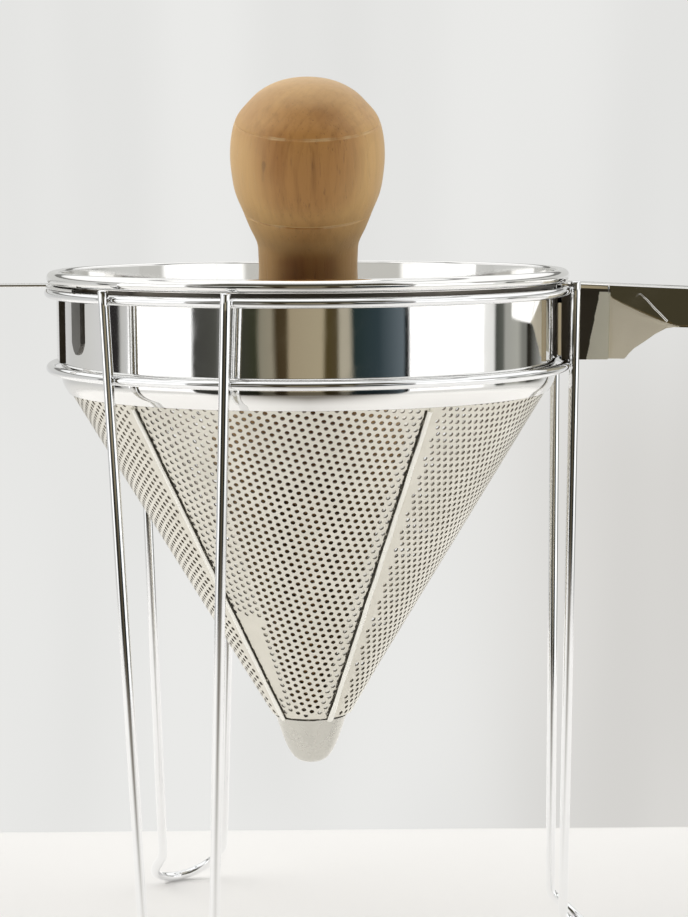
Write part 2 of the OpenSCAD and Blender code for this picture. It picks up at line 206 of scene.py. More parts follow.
def revolve(profile, segs, start=0.0, end=360.0, closed=True):
    """Turns a section of (r, z) about Z. closed joins the section's ends."""
    full = abs(end - start - 360) < 1e-9
    size = len(profile)
    columns = segs if full else segs + 1
    verts, faces = [], []
    for i in range(columns):
        a = math.radians(start + (end - start) * i / segs)
        verts += [(r * math.cos(a), r * math.sin(a), z) for r, z in profile]
    for i in range(segs):
        j = (i + 1) % columns
        for p in range(size if closed else size - 1):
            q = (p + 1) % size
            faces.append((i * size + p, j * size + p, j * size + q, i * size + q))
    if closed and not full:
        faces.append(tuple(reversed(range(size))))
        faces.append(tuple((columns - 1) * size + p for p in range(size)))
    return verts, faces


def close_poles(verts, faces, segs, first_z, last_z):
    """Fans on the axis that close both ends of an open revolved profile."""
    size = len(verts) // segs
    first, last = len(verts), len(verts) + 1
    verts += [(0, 0, first_z), (0, 0, last_z)]
    for i in range(segs):
        j = (i + 1) % segs
        faces.append((first, j * size, i * size))
        faces.append((last, i * size + size - 1, j * size + size - 1))


def join(parts):
    """Merges (verts, faces, material index) parts; returns verts, faces, face materials."""
    verts, faces, mats = [], [], []
    for part_verts, part_faces, mat in parts:
        base = len(verts)
        verts += [tuple(v) for v in part_verts]
        faces += [tuple(base + i for i in face) for face in part_faces]
        mats += [mat] * len(part_faces)
    return verts, faces, mats


def eased_side(r, low, high, ease):
    """The (r, z) points of an upright outer side with eased edges, from low to high."""
    return [(r - ease, low), (r - ease * 0.3, low + ease * 0.3), (r, low + ease),
            (r, high - ease), (r - ease * 0.3, high - ease * 0.3), (r - ease, high)]


# ---------------------------------------------------------------- material helpers
class Tree:
    """Short ways to build shader nodes. Values are numbers, RGB or XYZ tuples, or sockets."""

    def __init__(self, node_tree):
        self.nodes = node_tree.nodes
        self.links = node_tree.links

    def add(self, kind, **settings):
        node = self.nodes.new(kind)
        for key, value in settings.items():
            setattr(node, key, value)
        return node

    def put(self, socket, value):
        if isinstance(value, bpy.types.NodeSocket):
            self.links.new(value, socket)
            return
        if socket.type == "RGBA":
            value = (*value, 1)
        socket.default_value = value

    def math(self, operation, a, b=0.0):
        node = self.add("ShaderNodeMath", operation=operation)
        for socket, value in zip(node.inputs, (a, b, 0.0)):
            self.put(socket, value)
        return node.outputs[0]

    def plus(self, a, b):
        return self.math("ADD", a, b)

    def minus(self, a, b):
        return self.math("SUBTRACT", a, b)

    def times(self, a, b):
        return self.math("MULTIPLY", a, b)

    def fade(self, value, start, end, low=0.0, high=1.0):
        """A smooth step from low at start to high at end."""
        node = self.add("ShaderNodeMapRange", interpolation_type="SMOOTHSTEP")
        names = ("Value", "From Min", "From Max", "To Min", "To Max")
        for name, setting in zip(names, (value, start, end, low, high)):
            self.put(node.inputs[name], setting)
        return node.outputs["Result"]

    def window(self, value, start, full, fall, end):
        """1 between full and fall, fading to 0 at start and at end."""
        return self.times(self.fade(value, start, full), self.fade(value, end, fall))

    def mix(self, factor, a, b, blend="MIX"):
        node = self.add("ShaderNodeMix", data_type="RGBA", blend_type=blend)
        for index, value in ((0, factor), (6, a), (7, b)):
            self.put(node.inputs[index], value)
        return node.outputs[2]

    def multiply(self, a, b):
        return self.mix(1.0, a, b, blend="MULTIPLY")

    def mix_shader(self, factor, a, b):
        node = self.add("ShaderNodeMixShader")
        for socket, value in zip(node.inputs, (factor, a, b)):
            self.put(socket, value)
        return node.outputs[0]

    def noise(self, vector, scale, detail=3.0, rough=0.5, distortion=0.0):
        node = self.add("ShaderNodeTexNoise")
        for name, value in (("Vector", vector), ("Scale", scale), ("Detail", detail),
                            ("Roughness", rough), ("Distortion", distortion)):
            self.put(node.inputs[name], value)
        return node.outputs["Fac"]

    def scaled(self, vector, scale):
        node = self.add("ShaderNodeMapping")
        self.put(node.inputs["Vector"], vector)
        self.put(node.inputs["Scale"], scale)
        return node.outputs["Vector"]

    def split(self, vector):
        node = self.add("ShaderNodeSeparateXYZ")
        self.put(node.inputs[0], vector)
        return node.outputs

    def ramp(self, factor, stops):
        """A linear colour ramp from (position, colour) stops."""
        node = self.add("ShaderNodeValToRGB")
        node.color_ramp.interpolation = "LINEAR"
        elements = node.color_ramp.elements
        while len(elements) > 1:
            elements.remove(elements[-1])
        elements[0].position = stops[0][0]
        elements[0].color = (*stops[0][1], 1)
        for position, colour in stops[1:]:
            elements.new(position).color = (*colour, 1)
        self.put(node.inputs[0], factor)
        return node.outputs[0]

    def bump(self, height, strength, distance, normal=None):
        node = self.add("ShaderNodeBump")
        self.put(node.inputs["Strength"], strength)
        self.put(node.inputs["Distance"], distance)
        self.put(node.inputs["Height"], height)
        if normal is not None:
            self.put(node.inputs["Normal"], normal)
        return node.outputs["Normal"]

    def object_coords(self):
        return self.add("ShaderNodeTexCoord").outputs["Object"]


def material(name):
    mat = bpy.data.materials.new(name)
    mat.use_nodes = True
    return mat, Tree(mat.node_tree), mat.node_tree.nodes["Principled BSDF"].inputs


def steel(name, colour, rough, smudge, wave, wave_scale, grain,
          tint=None, tint_scale=40.0, metallic=1.0):
    """A metal with long soft waves in its sheet, fine grain, smudges and an uneven tone.

    smudge is the added roughness, wave the depth of the waves, grain the fine bump's strength.
    """
    mat, tree, surface = material(name)
    co = tree.object_coords()
    surface["Metallic"].default_value = metallic
    smudges = tree.noise(co, scale=55.0, detail=4.0, rough=0.62, distortion=0.6)
    fine = tree.noise(co, scale=900.0, detail=2.0)
    roughness = tree.plus(rough, tree.times(tree.fade(smudges, 0.42, 0.72), smudge))
    roughness = tree.plus(roughness, tree.times(fine, smudge * 0.4))
    surface["Roughness"].default_value = rough
    tree.put(surface["Roughness"], roughness)
    tone = tree.noise(co, scale=tint_scale, rough=0.55)
    base = tree.mix(tone, colour, tint or tuple(c * 0.94 for c in colour))
    tree.put(surface["Base Color"], base)
    waves = tree.noise(co, scale=wave_scale, detail=1.5, rough=0.4)
    normal = tree.bump(waves, strength=1.0, distance=wave)
    grains = tree.noise(co, scale=2600.0, detail=2.0, rough=0.6)
    normal = tree.bump(grains, strength=grain, distance=0.0002, normal=normal)
    tree.put(surface["Normal"], normal)
    return mat


CHROME = steel("stand_wire_chrome", (0.88, 0.885, 0.89), rough=0.012, smudge=0.02,
               wave=0.00006, wave_scale=26.0, grain=0.01)
MIRROR = steel("polished_steel", (0.89, 0.885, 0.87), rough=0.03, smudge=0.05,
               wave=0.00022, wave_scale=20.0, grain=0.015)
MIRROR_HANDLE = steel("polished_handle_steel", (0.87, 0.86, 0.84), rough=0.045, smudge=0.06,
                      wave=0.0002, wave_scale=24.0, grain=0.02)
SATIN = steel("perforated_satin_steel", (0.775, 0.75, 0.675), rough=0.27, smudge=0.10,
              wave=0.0003, wave_scale=30.0, grain=0.25,
              tint=(0.66, 0.635, 0.56), tint_scale=70.0)
SEAM = steel("folded_seam_steel", (0.92, 0.91, 0.86), rough=0.24, smudge=0.12,
             wave=0.0002, wave_scale=60.0, grain=0.2,
             tint=(0.82, 0.81, 0.75), tint_scale=160.0)
LAP = steel("lap_flange_steel", (0.95, 0.94, 0.90), rough=0.26, smudge=0.16,
            wave=0.0003, wave_scale=60.0, grain=0.3,
            tint=(0.50, 0.48, 0.42), tint_scale=260.0)
# painted reflection: a pale, half-matt steel for a patch on the handle root's front side,
# standing in for a bright reflection
ROOT_REFLECTION = steel("root_painted_reflection_steel", (0.66, 0.635, 0.52), rough=0.42, smudge=0.10,
               wave=0.0003, wave_scale=40.0, grain=0.2, metallic=0.3)
# painted reflection: a beige, half-matt steel for the gusset's front side, standing in for its
# reflection
GUSSET_REFLECTION = steel("gusset_painted_reflection_steel", (0.80, 0.74, 0.60), rough=0.30, smudge=0.08,
               wave=0.0003, wave_scale=30.0, grain=0.2, metallic=0.55)
# painted shade: a dark steel laid where the rim's gap, the handle root's front side and the hook
# plate's end faces lie in shade
SHADED = steel("rim_shadow_steel", (0.11, 0.10, 0.085), rough=0.28, smudge=0.10,
               wave=0.0002, wave_scale=30.0, grain=0.1)
# painted shade: a dark steel for the hook's tongues, which lie in shade
SHADED_TONGUE = steel("tongue_painted_shade_steel", (0.17, 0.163, 0.15), rough=0.30, smudge=0.12,
               wave=0.0002, wave_scale=60.0, grain=0.15,
               tint=(0.12, 0.115, 0.105), tint_scale=90.0)
CAP = steel("spun_cap_steel", (0.63, 0.615, 0.565), rough=0.20, smudge=0.10,
            wave=0.0003, wave_scale=34.0, grain=0.12,
            tint=(0.56, 0.55, 0.505), tint_scale=90.0)


def hole_edge_material():
    mat, tree, surface = material("hole_wall_steel")
    co = tree.object_coords()
    surface["Metallic"].default_value = 0.85
    surface["Roughness"].default_value = 0.55
    tone = tree.noise(co, scale=700.0, rough=0.6)
    tree.put(surface["Base Color"], tree.mix(tone, (0.21, 0.19, 0.155), (0.40, 0.37, 0.32)))
    grain = tree.noise(co, scale=5000.0, detail=2.0)
    tree.put(surface["Normal"], tree.bump(grain, strength=0.4, distance=0.0001))
    return mat


def crevice_shadow_material():
    """Painted shadow of a seam's gap: rough and dark, with small bright spots of metal as
    painted glints.
    """
    mat, tree, surface = material("seam_crevice_shadow")
    co = tree.object_coords()
    lumps = tree.noise(co, scale=900.0, rough=0.65, distortion=0.4)
    spots = tree.fade(lumps, 0.60, 0.68)
    surface["Metallic"].default_value = 0.7
    tree.put(surface["Roughness"], tree.minus(0.65, tree.times(spots, 0.4)))
    tone = tree.noise(co, scale=240.0, detail=2.0)
    dark = tree.mix(tone, (0.030, 0.026, 0.020), (0.085, 0.075, 0.055))
    tree.put(surface["Base Color"], tree.mix(spots, dark, (0.62, 0.59, 0.50)))
    tree.put(surface["Normal"], tree.bump(lumps, strength=0.9, distance=0.0006))
    return mat


HOLE_EDGE = hole_edge_material()
CREVICE_SHADOW = crevice_shadow_material()


# ---------------------------------------------------------------- perforated panels
# distances from the apex down the cone's slant
SLANT_LOW = (CONE_LOW - APEX_Z) / COS_CONE
SLANT_HIGH = (CONE_HIGH - APEX_Z) / COS_CONE


def cone_point(slant, azimuth, depth):
    """A point on the cone, sunk by depth below its outer face."""
    r = slant * SIN_CONE - depth * COS_CONE
    z = APEX_Z + slant * COS_CONE + depth * SIN_CONE
    return (r * math.cos(azimuth), r * math.sin(azimuth), z)


def flat_point(slant, angle):
    """A point (u, v) of the unrolled cone; the angle is 0 in the panel's middle."""
    return slant * math.sin(angle), slant * math.cos(angle)


def panel_outline(half):
    """The unrolled panel's edge: bottom, +u side, top, -u side."""
    slants = np.linspace(SLANT_LOW, SLANT_HIGH, 60)
    return ([flat_point(SLANT_LOW, a) for a in np.linspace(-half, half, 16)[:-1]]
            + [flat_point(s, half) for s in slants[:-1]]
            + [flat_point(SLANT_HIGH, a) for a in np.linspace(-half, half, 46)[:0:-1]]
            + [flat_point(s, -half) for s in slants[:0:-1]])


def punch(index, half, lattice, margins, wedge):
    """Outline, holes and filler points of an unrolled panel: points, loops, hole count.

    margins are the unpunched widths at the -u and +u sides; wedge leaves a blank
    wedge low on the -u side.
    """
    points = panel_outline(half)
    loops = [list(range(len(points)))]
    c, s = math.cos(math.radians(lattice)), math.sin(math.radians(lattice))
    root = math.sqrt(3)
    step_i = np.array([c, s]) * HOLE_PITCH
    step_j = np.array([c * 0.5 - s * root / 2, s * 0.5 + c * root / 2]) * HOLE_PITCH
    shift = np.array([0.7, 0.4]) * (index + 1)
    for i in range(-130, 131):
        for j in range(-130, 131):
            u, v = i * step_i + j * step_j + shift
            if v <= 5:
                continue
            slant, angle = math.hypot(u, v), math.atan2(u, v)
            if not (SLANT_LOW + 0.6 < slant < SLANT_HIGH - 0.6) or abs(angle) > half:
                continue
            left = slant * math.sin(angle + half)
            right = slant * math.sin(half - angle)
            if min(left, right) < 0.5:
                continue
            punched = (SLANT_LOW + 1.35 < slant < SLANT_HIGH - 1.2
                       and left > margins[0] and right > margins[1])
            if wedge and slant < 79 and left < 2.2 + (slant - 34.3) / 40 * 9:
                punched = False
            if not punched:
                points.append((u, v))
                continue
            loops.append(list(range(len(points), len(points) + HOLE_SIDES)))
            turn = 0.26 * ((i * 7 + j * 13) % 5)
            r = HOLE_R * (1 + 0.03 * math.sin(i * 12.9898 + j * 78.233))
            for k in range(HOLE_SIDES):
                a = turn + 2 * math.pi * k / HOLE_SIDES
                points.append((u + r * math.cos(a), v + r * math.sin(a)))
    return points, loops, len(loops) - 1


def lap_strip(base, middle, half, side, width):
    """A thin strip inside the sheet that closes the holes along one side (-1 or +1)."""
    rows, cols = 60, 7
    verts = []
    for depth in (0.34, 0.57):
        for slant in np.linspace(SLANT_LOW + 1.0, SLANT_HIGH - 0.8, rows):
            for inset in np.linspace(0.25, min(width, 0.16 * slant), cols):
                angle = side * (half - inset / slant)
                verts.append(cone_point(slant, middle + angle / SIN_CONE, depth))

    def at(layer, i, j):
        return base + (layer * rows + i) * cols + j

    quads = []
    end = cols - 1
    for i in range(rows - 1):
        for j in range(end):
            quads.append((at(0, i, j), at(0, i, j + 1), at(0, i + 1, j + 1), at(0, i + 1, j)))
            quads.append((at(1, i, j), at(1, i + 1, j), at(1, i + 1, j + 1), at(1, i, j + 1)))
        quads.append((at(0, i, 0), at(0, i + 1, 0), at(1, i + 1, 0), at(1, i, 0)))
        quads.append((at(0, i + 1, end), at(0, i, end), at(1, i, end), at(1, i + 1, end)))
    last = rows - 1
    for j in range(end):
        quads.append((at(0, 0, j + 1), at(0, 0, j), at(1, 0, j), at(1, 0, j + 1)))
        quads.append((at(0, last, j), at(0, last, j + 1), at(1, last, j + 1), at(1, last, j)))
    # going inwards from this side, +u runs with -side
    return verts, [quad if side < 0 else quad[::-1] for quad in quads]


def panel(place, index, lattice, margins, wedge=False, laps=()):
    """One panel between two seams, laid out flat, punched, and rolled onto the cone.

    lattice is the hole pattern's turn in degrees; laps are (side, width) strips.
    Returns the number of holes.
    """
    start = math.radians(SEAMS[index] + SEAM_GAP)
    end = math.radians(SEAMS[index] + SEAM_STEP - SEAM_GAP)
    middle = (start + end) / 2
    half = (end - start) / 2 * SIN_CONE
    points, loops, holes = punch(index, half, lattice, margins, wedge)
    result = delaunay_2d_cdt([tuple(map(float, p)) for p in points], [], loops, 1, 1e-5, True)
    flat = [(p[0], p[1]) for p in result[0]]
    # triangles that also belong to a hole's loop are left out
    triangles = [t for t, sources in zip(result[2], result[5]) if len(sources) == 1]

    verts, point_normals = [], []
    for depth, sign in ((0.0, 1), (SHEET, -1)):
        for x, y in flat:
            azimuth = middle + math.atan2(x, y) / SIN_CONE
            verts.append(cone_point(math.hypot(x, y), azimuth, depth))
            point_normals.append((sign * COS_CONE * math.cos(azimuth),
                                  sign * COS_CONE * math.sin(azimuth), -sign * SIN_CONE))
    faces, face_mats, normals = [], [], []

    def add_quads(quads, mat):
        for quad in quads:
            a, b, c = (np.array(verts[i]) for i in quad[:3])
            faces.append(quad)
            face_mats.append(mat)
            normals.extend([tuple(unit(np.cross(b - a, c - a)))] * 4)

    count = len(flat)
    edges = {}
    for triangle in triangles:
        a, b, c = (flat[i] for i in triangle)
        area = (b[0] - a[0]) * (c[1] - a[1]) - (b[1] - a[1]) * (c[0] - a[0])
        # seen from outside, +u runs right and +v up, so this order faces outwards
        outer = tuple(triangle) if area > 0 else tuple(reversed(triangle))
        inner = tuple(i + count for i in reversed(outer))
        for face in (outer, inner):
            faces.append(face)
            face_mats.append(0)
            normals += [point_normals[i] for i in face]
        for k in range(3):
            edges[(outer[k], outer[(k + 1) % 3])] = True
    # walls between the two faces, round the panel and in every hole
    add_quads([(b, a, a + count, b + count) for a, b in edges if (b, a) not in edges], 1)
    for side, width in laps:
        lap_verts, quads = lap_strip(len(verts), middle, half, side, width)
        verts += lap_verts
        add_quads(quads, 2)

    name = "sieve_panel_" + place
    mesh = bpy.data.meshes.new(name)
    mesh.from_pydata([tuple(c * MM for c in v) for v in verts], [], faces)
    for mat in (SATIN, HOLE_EDGE, LAP):
        mesh.materials.append(mat)
    mesh.polygons.foreach_set("material_index", np.array(face_mats, np.int32))
    mesh.polygons.foreach_set("use_smooth", [True] * len(faces))
    mesh.normals_split_custom_set(normals)
    mesh.update()
    register(add_object(name, mesh), "strainer", "cone_panel_" + place)
    return holes


HOLES = sum([
    panel("front", 3, -20, (1.05, 1.05), wedge=True, laps=((-1, 10.0), (1, 5.5))),
    panel("right", 4, 8, (4.4, 1.05), laps=((1, 5.5),)),
    panel("left", 2, 19, (1.05, 3.8), laps=((-1, 5.5),)),
    panel("rear_right", 0, -6, (4.0, 1.05)),
    panel("rear_left", 1, 14, (1.05, 4.0)),
])


# ---------------------------------------------------------------- folded seams
# sections as (across the seam, outwards)
FOLD_SECTION = [
    (-0.62, -0.15), (-0.80, 0.15), (-0.86, 0.45), (-0.74, 0.78), (-0.45, 1.02),
    (-0.05, 1.15), (0.35, 1.12), (0.75, 0.95), (1.08, 0.66), (1.32, 0.36),
    (1.52, 0.12), (1.58, -0.10), (0.4, -0.19)]
CREVICE_SECTION = [(-1.68, -0.05), (-1.60, 0.09), (-1.25, 0.15), (-0.85, 0.13), (-0.66, -0.05)]
SEAM_FOOT = (93.9 - APEX_Z) / COS_CONE
SEAM_TOP = (217.9 - APEX_Z) / COS_CONE
SEAM_TAPER = 1.5                              # length of the rounded foot


def seam(place, azimuth_deg, side):
    """A folded edge on one side of the joint, with a strip of painted shadow in the crevice on
    the other side.
    """
    azimuth = math.radians(azimuth_deg)
    c, s = math.cos(azimuth), math.sin(azimuth)
    across = np.array([-s, c, 0.0]) * side
    outward = np.array([COS_CONE * c, COS_CONE * s, -SIN_CONE])
    up = np.array([SIN_CONE * c, SIN_CONE * s, COS_CONE])
    apex = np.array([0, 0, APEX_Z])

    # rows as (slant, size of the section)
    rows = [(SEAM_FOOT + SEAM_TAPER - SEAM_TAPER * math.sin(a), max(0.12, math.cos(a) ** 0.8))
            for a in np.radians([88, 70, 50, 30, 14])]
    rows += [(slant, 1.0) for slant in np.linspace(SEAM_FOOT + SEAM_TAPER, SEAM_TOP, 80)]
    fold = []
    for slant, size in rows:
        # slow waves in width, height and place make the fold slightly uneven
        width = (1 + 0.05 * math.sin(slant * 0.21 + azimuth_deg)
                 + 0.03 * math.sin(slant * 0.63 + 2 * azimuth_deg))
        height = 1 - 0.06 * (0.5 + 0.5 * math.sin(slant * 0.17 + azimuth_deg * 3))
        shift = 0.06 * math.sin(slant * 0.31 + azimuth_deg)
        wide = 1 + 0.30 * max(0.0, 1 - (slant - SEAM_FOOT) / 14)
        for a, b in FOLD_SECTION:
            a = a * width * wide * (0.35 + 0.65 * size) + shift
            a = max(-1.55, min(1.58 + 0.4 * (wide - 1) / 0.3, a))
            b = b * height * size if b > 0 else b
            fold.append(apex + slant * up + a * across + b * outward)

    crevice = []
    slants = np.linspace(SEAM_FOOT + 1.0, SEAM_TOP, 160)
    for slant in slants:
        jitter = (0.11 * math.sin(slant * 1.7 + azimuth_deg) + 0.10 * math.sin(slant * 0.9)
                  + 0.10 * math.sin(slant * 3.1 + 2 * azimuth_deg))
        for a, b in CREVICE_SECTION:
            a += jitter if a < -1.3 else 0
            crevice.append(apex + slant * up + a * across + b * outward)

    verts, faces, mats = join([
        (fold, loft(len(rows), len(FOLD_SECTION), flip=side < 0), 0),
        (crevice, loft(len(slants), len(CREVICE_SECTION), flip=side < 0), 1)])
    ob = make("seam_fold_" + place, verts, faces, [SEAM, CREVICE_SHADOW], mats, sharp=60)
    register(ob, "strainer", "seam_rib_" + place)


for seam_place, seam_index, seam_side in (("front_left", 3, -1), ("front_right", 4, 1),
                                          ("right", 0, 1), ("rear", 1, 1), ("left", 2, -1)):
    seam(seam_place, SEAMS[seam_index], seam_side)


# ---------------------------------------------------------------- tip cap
# depth in mm, azimuth in degrees, sharpness
CAP_DENTS = [(0.32, 292, 10), (0.22, 244, 8), (0.28, 160, 8), (0.25, 60, 9)]


def dented(x, y, z):
    """Pushes a point of the cap's side in by shallow dents."""
    r = math.hypot(x, y)
    if z >= CONE_LOW - 0.5 or r <= 0.5:
        return x, y, z
    azimuth = math.atan2(y, x)
    weight = min(1, (CONE_LOW - z) / 5) * min(1, r / 6)
    dent = weight * sum(depth * max(0, math.cos(azimuth - math.radians(place))) ** sharpness
                        for depth, place, sharpness in CAP_DENTS)
    return x * (1 - dent / r), y * (1 - dent / r), z


def tip_cap():
    """A thin rounded cap under the cone, with a lip slipped inside the cone's edge."""
    wall, depth, lip, segs = 0.7, 19.5, 2.6, 128
    top_r = CONE_LOW_R - SHEET / COS_CONE - 0.02

    def bowl(inset):
        return [((top_r - inset) * math.sin(a) ** 0.6,
                 CONE_LOW - (depth - inset) * math.cos(a) ** 2.86)
                for a in np.radians(np.linspace(1.2, 90, 60))]

    lip_z = CONE_LOW + lip
    lip_outer = [(top_r + (z - CONE_LOW) * TAN_CONE, z)
                 for z in np.linspace(CONE_LOW, lip_z, 6)][1:]
    lip_inner = [(top_r - wall + (z - CONE_LOW) * TAN_CONE, z)
                 for z in np.linspace(lip_z, CONE_LOW, 6)][:-1]
    profile = bowl(0) + lip_outer + lip_inner + bowl(wall)[::-1]
    verts, faces = revolve(profile, segs, closed=False)
    close_poles(verts, faces, segs, CONE_LOW - depth, CONE_LOW - depth + wall)
    verts = [dented(*v) for v in verts]
    # painted shade: a dark line where the cap slips under the cone's edge
    mats = []
    for face in faces:
        x, y, z = np.mean([verts[i] for i in face], axis=0)
        dark = CONE_LOW - 0.95 < z <= CONE_LOW and math.hypot(x, y) > top_r - 0.6
        mats.append(1 if dark else 0)
    ob = make("tip_cap_shell", verts, faces, [CAP, CREVICE_SHADOW], mats, sharp=40)
    register(ob, "strainer", "tip_cap")


tip_cap()


# ---------------------------------------------------------------- collar
def collar():
    """Skirt on the cone, upright band and curled rim, as one revolved sheet."""
    skirt_gap = (BAND_T + 0.05) / COS_CONE
    corner_z = CONE_LOW + (BAND_R - skirt_gap - CONE_LOW_R) / TAN_CONE
    bend_z = corner_z + SKIRT_BEND * math.tan(CONE_HALF / 2)
    curl_r = RIM_H / 2
    curl_in, curl_out = BAND_R - BAND_T + curl_r, RIM_R - curl_r
    hem_r = BAND_R + 0.6

    def skirt(inset):
        """From the skirt's lower edge up to the band."""
        r = CONE_LOW_R + (SKIRT_Z - CONE_LOW) * TAN_CONE + skirt_gap
        start = np.array([r - inset * COS_CONE, SKIRT_Z + inset * SIN_CONE])
        bend = SKIRT_BEND - inset
        arc = [np.array([BAND_R - SKIRT_BEND + bend * math.cos(a), bend_z - bend * math.sin(a)])
               for a in np.linspace(CONE_HALF, 0, 26)]
        return [start + (arc[0] - start) * t for t in np.linspace(0, 1, 8)[:-1]] + arc

    def curl(inset, first_angle):
        """Over the rim from the inside, down and back to the hem under it."""
        r = curl_r - inset
        rise = [(curl_in + r * math.cos(a), RIM_Z + r * math.sin(a))
                for a in np.radians(np.linspace(first_angle, 90, 20))]
        fall = [(curl_out + r * math.cos(a), RIM_Z + r * math.sin(a))
                for a in np.radians(np.linspace(90, -90, 40))][1:]
        back = [(x, RIM_Z - curl_r + inset) for x in np.linspace(curl_out, hem_r, 6)][1:]
        return rise + fall + back

    outer, inner = skirt(0), skirt(BAND_T)
    # rounded lower lip of the skirt
    centre = (outer[0] + inner[0]) / 2
    across = (inner[0] - outer[0]) / 2
    down = -unit(outer[1] - outer[0]) * BAND_T * 0.22
    lip = [tuple(centre + across * math.cos(a) + down * math.sin(a))
           for a in np.radians([150, 120, 90, 60, 30])]
    # inside, the band opens a little towards the rim
    flare_z, flare = 251.5, 0.0506
    inner_heights = np.concatenate([np.linspace(inner[-1][1], 250.5, 7)[1:],
                                    np.linspace(flare_z, RIM_Z + 1.4, 12)])
    band_inner = [(BAND_R - BAND_T + flare * max(0.0, z - flare_z), z) for z in inner_heights]
    over = curl(0, first_angle=139.5)
    under = curl(BAND_T, first_angle=180)
    (high_r, high_z), (low_r, low_z) = over[-1], under[-1]
    hem = [(high_r - 0.18, high_z + 0.12), (high_r - 0.24, (high_z + low_z) / 2),
           (low_r - 0.18, low_z - 0.12)]
    outer_heights = np.concatenate([[260.6, 259.6, 258.6, 257.5],
                                    np.linspace(257.35, outer[-1][1], 9)[:-1]])
    band_outer = [(BAND_R, z) for z in outer_heights]
    profile = ([tuple(p) for p in inner] + band_inner + over + hem + under[::-1]
               + band_outer + [tuple(p) for p in outer[::-1]] + lip[::-1])
    verts, faces = revolve(profile, 288)
    # painted shade: the strip of band between the rim and the ring is painted dark, standing for
    # the shade in the gap under the rim
    mats = []
    for face in faces:
        r = math.hypot(*verts[face[0]][:2])
        z = sum(verts[i][2] for i in face) / len(face)
        mats.append(1 if abs(r - BAND_R) < 0.05 and z > 257.4 else 0)
    ob = make("collar_shell", verts, faces, [MIRROR, SHADED], mats, sharp=50)
    register(ob, "strainer", "rim_collar")


collar()


# ---------------------------------------------------------------- stand
def circle_path(radius, z, angles):
    return [(radius * math.cos(a), radius * math.sin(a), z) for a in np.radians(angles)]


def stand_part(name, node, mesh, sharp):
    ob = make(name, *mesh, [CHROME], sharp=sharp)
    register(ob, "stand", node)


def rings():
    """The upper ring is open where the right leg's two wires stand."""
    azimuth, half_width, _ = LEGS["right"]
    gap = math.degrees(math.asin(half_width / LEG_CONTACT)) - 1.5
    angles = np.linspace(azimuth + gap, azimuth + 360 - gap, 280)
    upper = wire(circle_path(UPPER_RING_R, UPPER_RING_Z, angles), RING_DRAWN_R, 28, dome=0.55)
    stand_part("upper_ring_wire", "upper_ring", upper, sharp=50)
    path = circle_path(LOWER_RING_R, LOWER_RING_Z, np.linspace(0, 360, 289)[:-1])
    lower = sweep(path, RING_DRAWN_R, 28, closed=True)
    stand_part("lower_ring_wire", "lower_ring", lower, sharp=50)


def leg(place):
    """One hairpin leg: a single wire from one top end round the toe to the other.

    It is shaped along +X and then turned to its azimuth.
    """
    azimuth_deg, half_width, foot_r = LEGS[place]
    top_x = math.sqrt(LEG_CONTACT ** 2 - half_width ** 2)
    toe = np.array([math.sin(TOE_TILT), 0, -math.cos(TOE_TILT)])
    halves = []
    for side in (-1, 1):
        top = np.array([top_x, side * half_width, LEG_TOP])
        foot = np.array([foot_r, side * FOOT_HALF, TOE_Z])
        down = unit(foot - top)
        inward = unit(toe - (down @ toe) * down)
        bend = math.acos(down @ toe)
        centre = foot + TOE_R * inward

        def on_bend(a):
            return centre - inward * TOE_R * math.cos(a) + down * TOE_R * math.sin(a)

        bend_end = on_bend(bend)
        reach = (bend_end[2] - LEG_WIRE_R) / math.cos(TOE_TILT) - abs(bend_end[1])
        toe_end = bend_end + reach * toe
        points = [top + (foot - top) * t for t in np.linspace(0, 1, 40)]
        points += [on_bend(a) for a in np.linspace(0, bend, 12)[1:]]
        points += [bend_end + (toe_end - bend_end) * t for t in np.linspace(0, 1, 8)[1:]]
        halves.append(points)
    # toe_end is now that of the +Y half
    centre = np.array([toe_end[0], 0, toe_end[2]])
    side_way = np.array([0, 1, 0])
    arc = [centre + side_way * toe_end[1] * math.cos(a) + toe * toe_end[1] * math.sin(a)
           for a in np.linspace(0, math.pi, 40)[1:-1]]
    azimuth = math.radians(azimuth_deg)
    c, s = math.cos(azimuth), math.sin(azimuth)
    turn = np.array([[c, -s, 0], [s, c, 0], [0, 0, 1]])
    path = [turn @ p for p in halves[1] + arc + halves[0][::-1]]
    mesh = wire(path, LEG_DRAWN_R, 28, dome=0.7)
    stand_part("leg_wire_" + place, "leg_" + place, mesh, sharp=60)


rings()
for leg_place in LEGS:
    leg(leg_place)


# ---------------------------------------------------------------- rest hook
def hook_strip():
    """The straight strip along -X, with a round end and eased edges."""
    root_x, bend_x = -92.72, -96
    round_x = -(HOOK_REACH - HOOK_WIDTH / 2)

    def plan(outset):
        half = HOOK_WIDTH / 2 + outset
        straight = np.linspace(bend_x, round_x, 12)
        round_end = [(round_x + half * math.cos(a), half * math.sin(a))
                     for a in np.radians(np.linspace(90, 270, 40))][1:-1]
        return ([(root_x, half)] + [(x, half) for x in straight] + round_end
                + [(x, -half) for x in np.linspace(round_x, bend_x, 12)] + [(root_x, -half)])

    levels = eased_side(0.0, HOOK_Z, HOOK_Z + HOOK_T, ease=0.3)
    verts = [(x, y, z) for outset, z in levels for x, y in plan(outset)]
    return verts, loft(len(levels), len(plan(0)))


def hook_bar(half_angle, inner_r, outer_r, low, high, segs, ease):
    """A bar bent round the band, centred on -X."""
    profile = [(inner_r, low)] + eased_side(outer_r, low, high, ease) + [(inner_r, high)]
    return revolve(profile, segs, 180 - half_angle, 180 + half_angle)


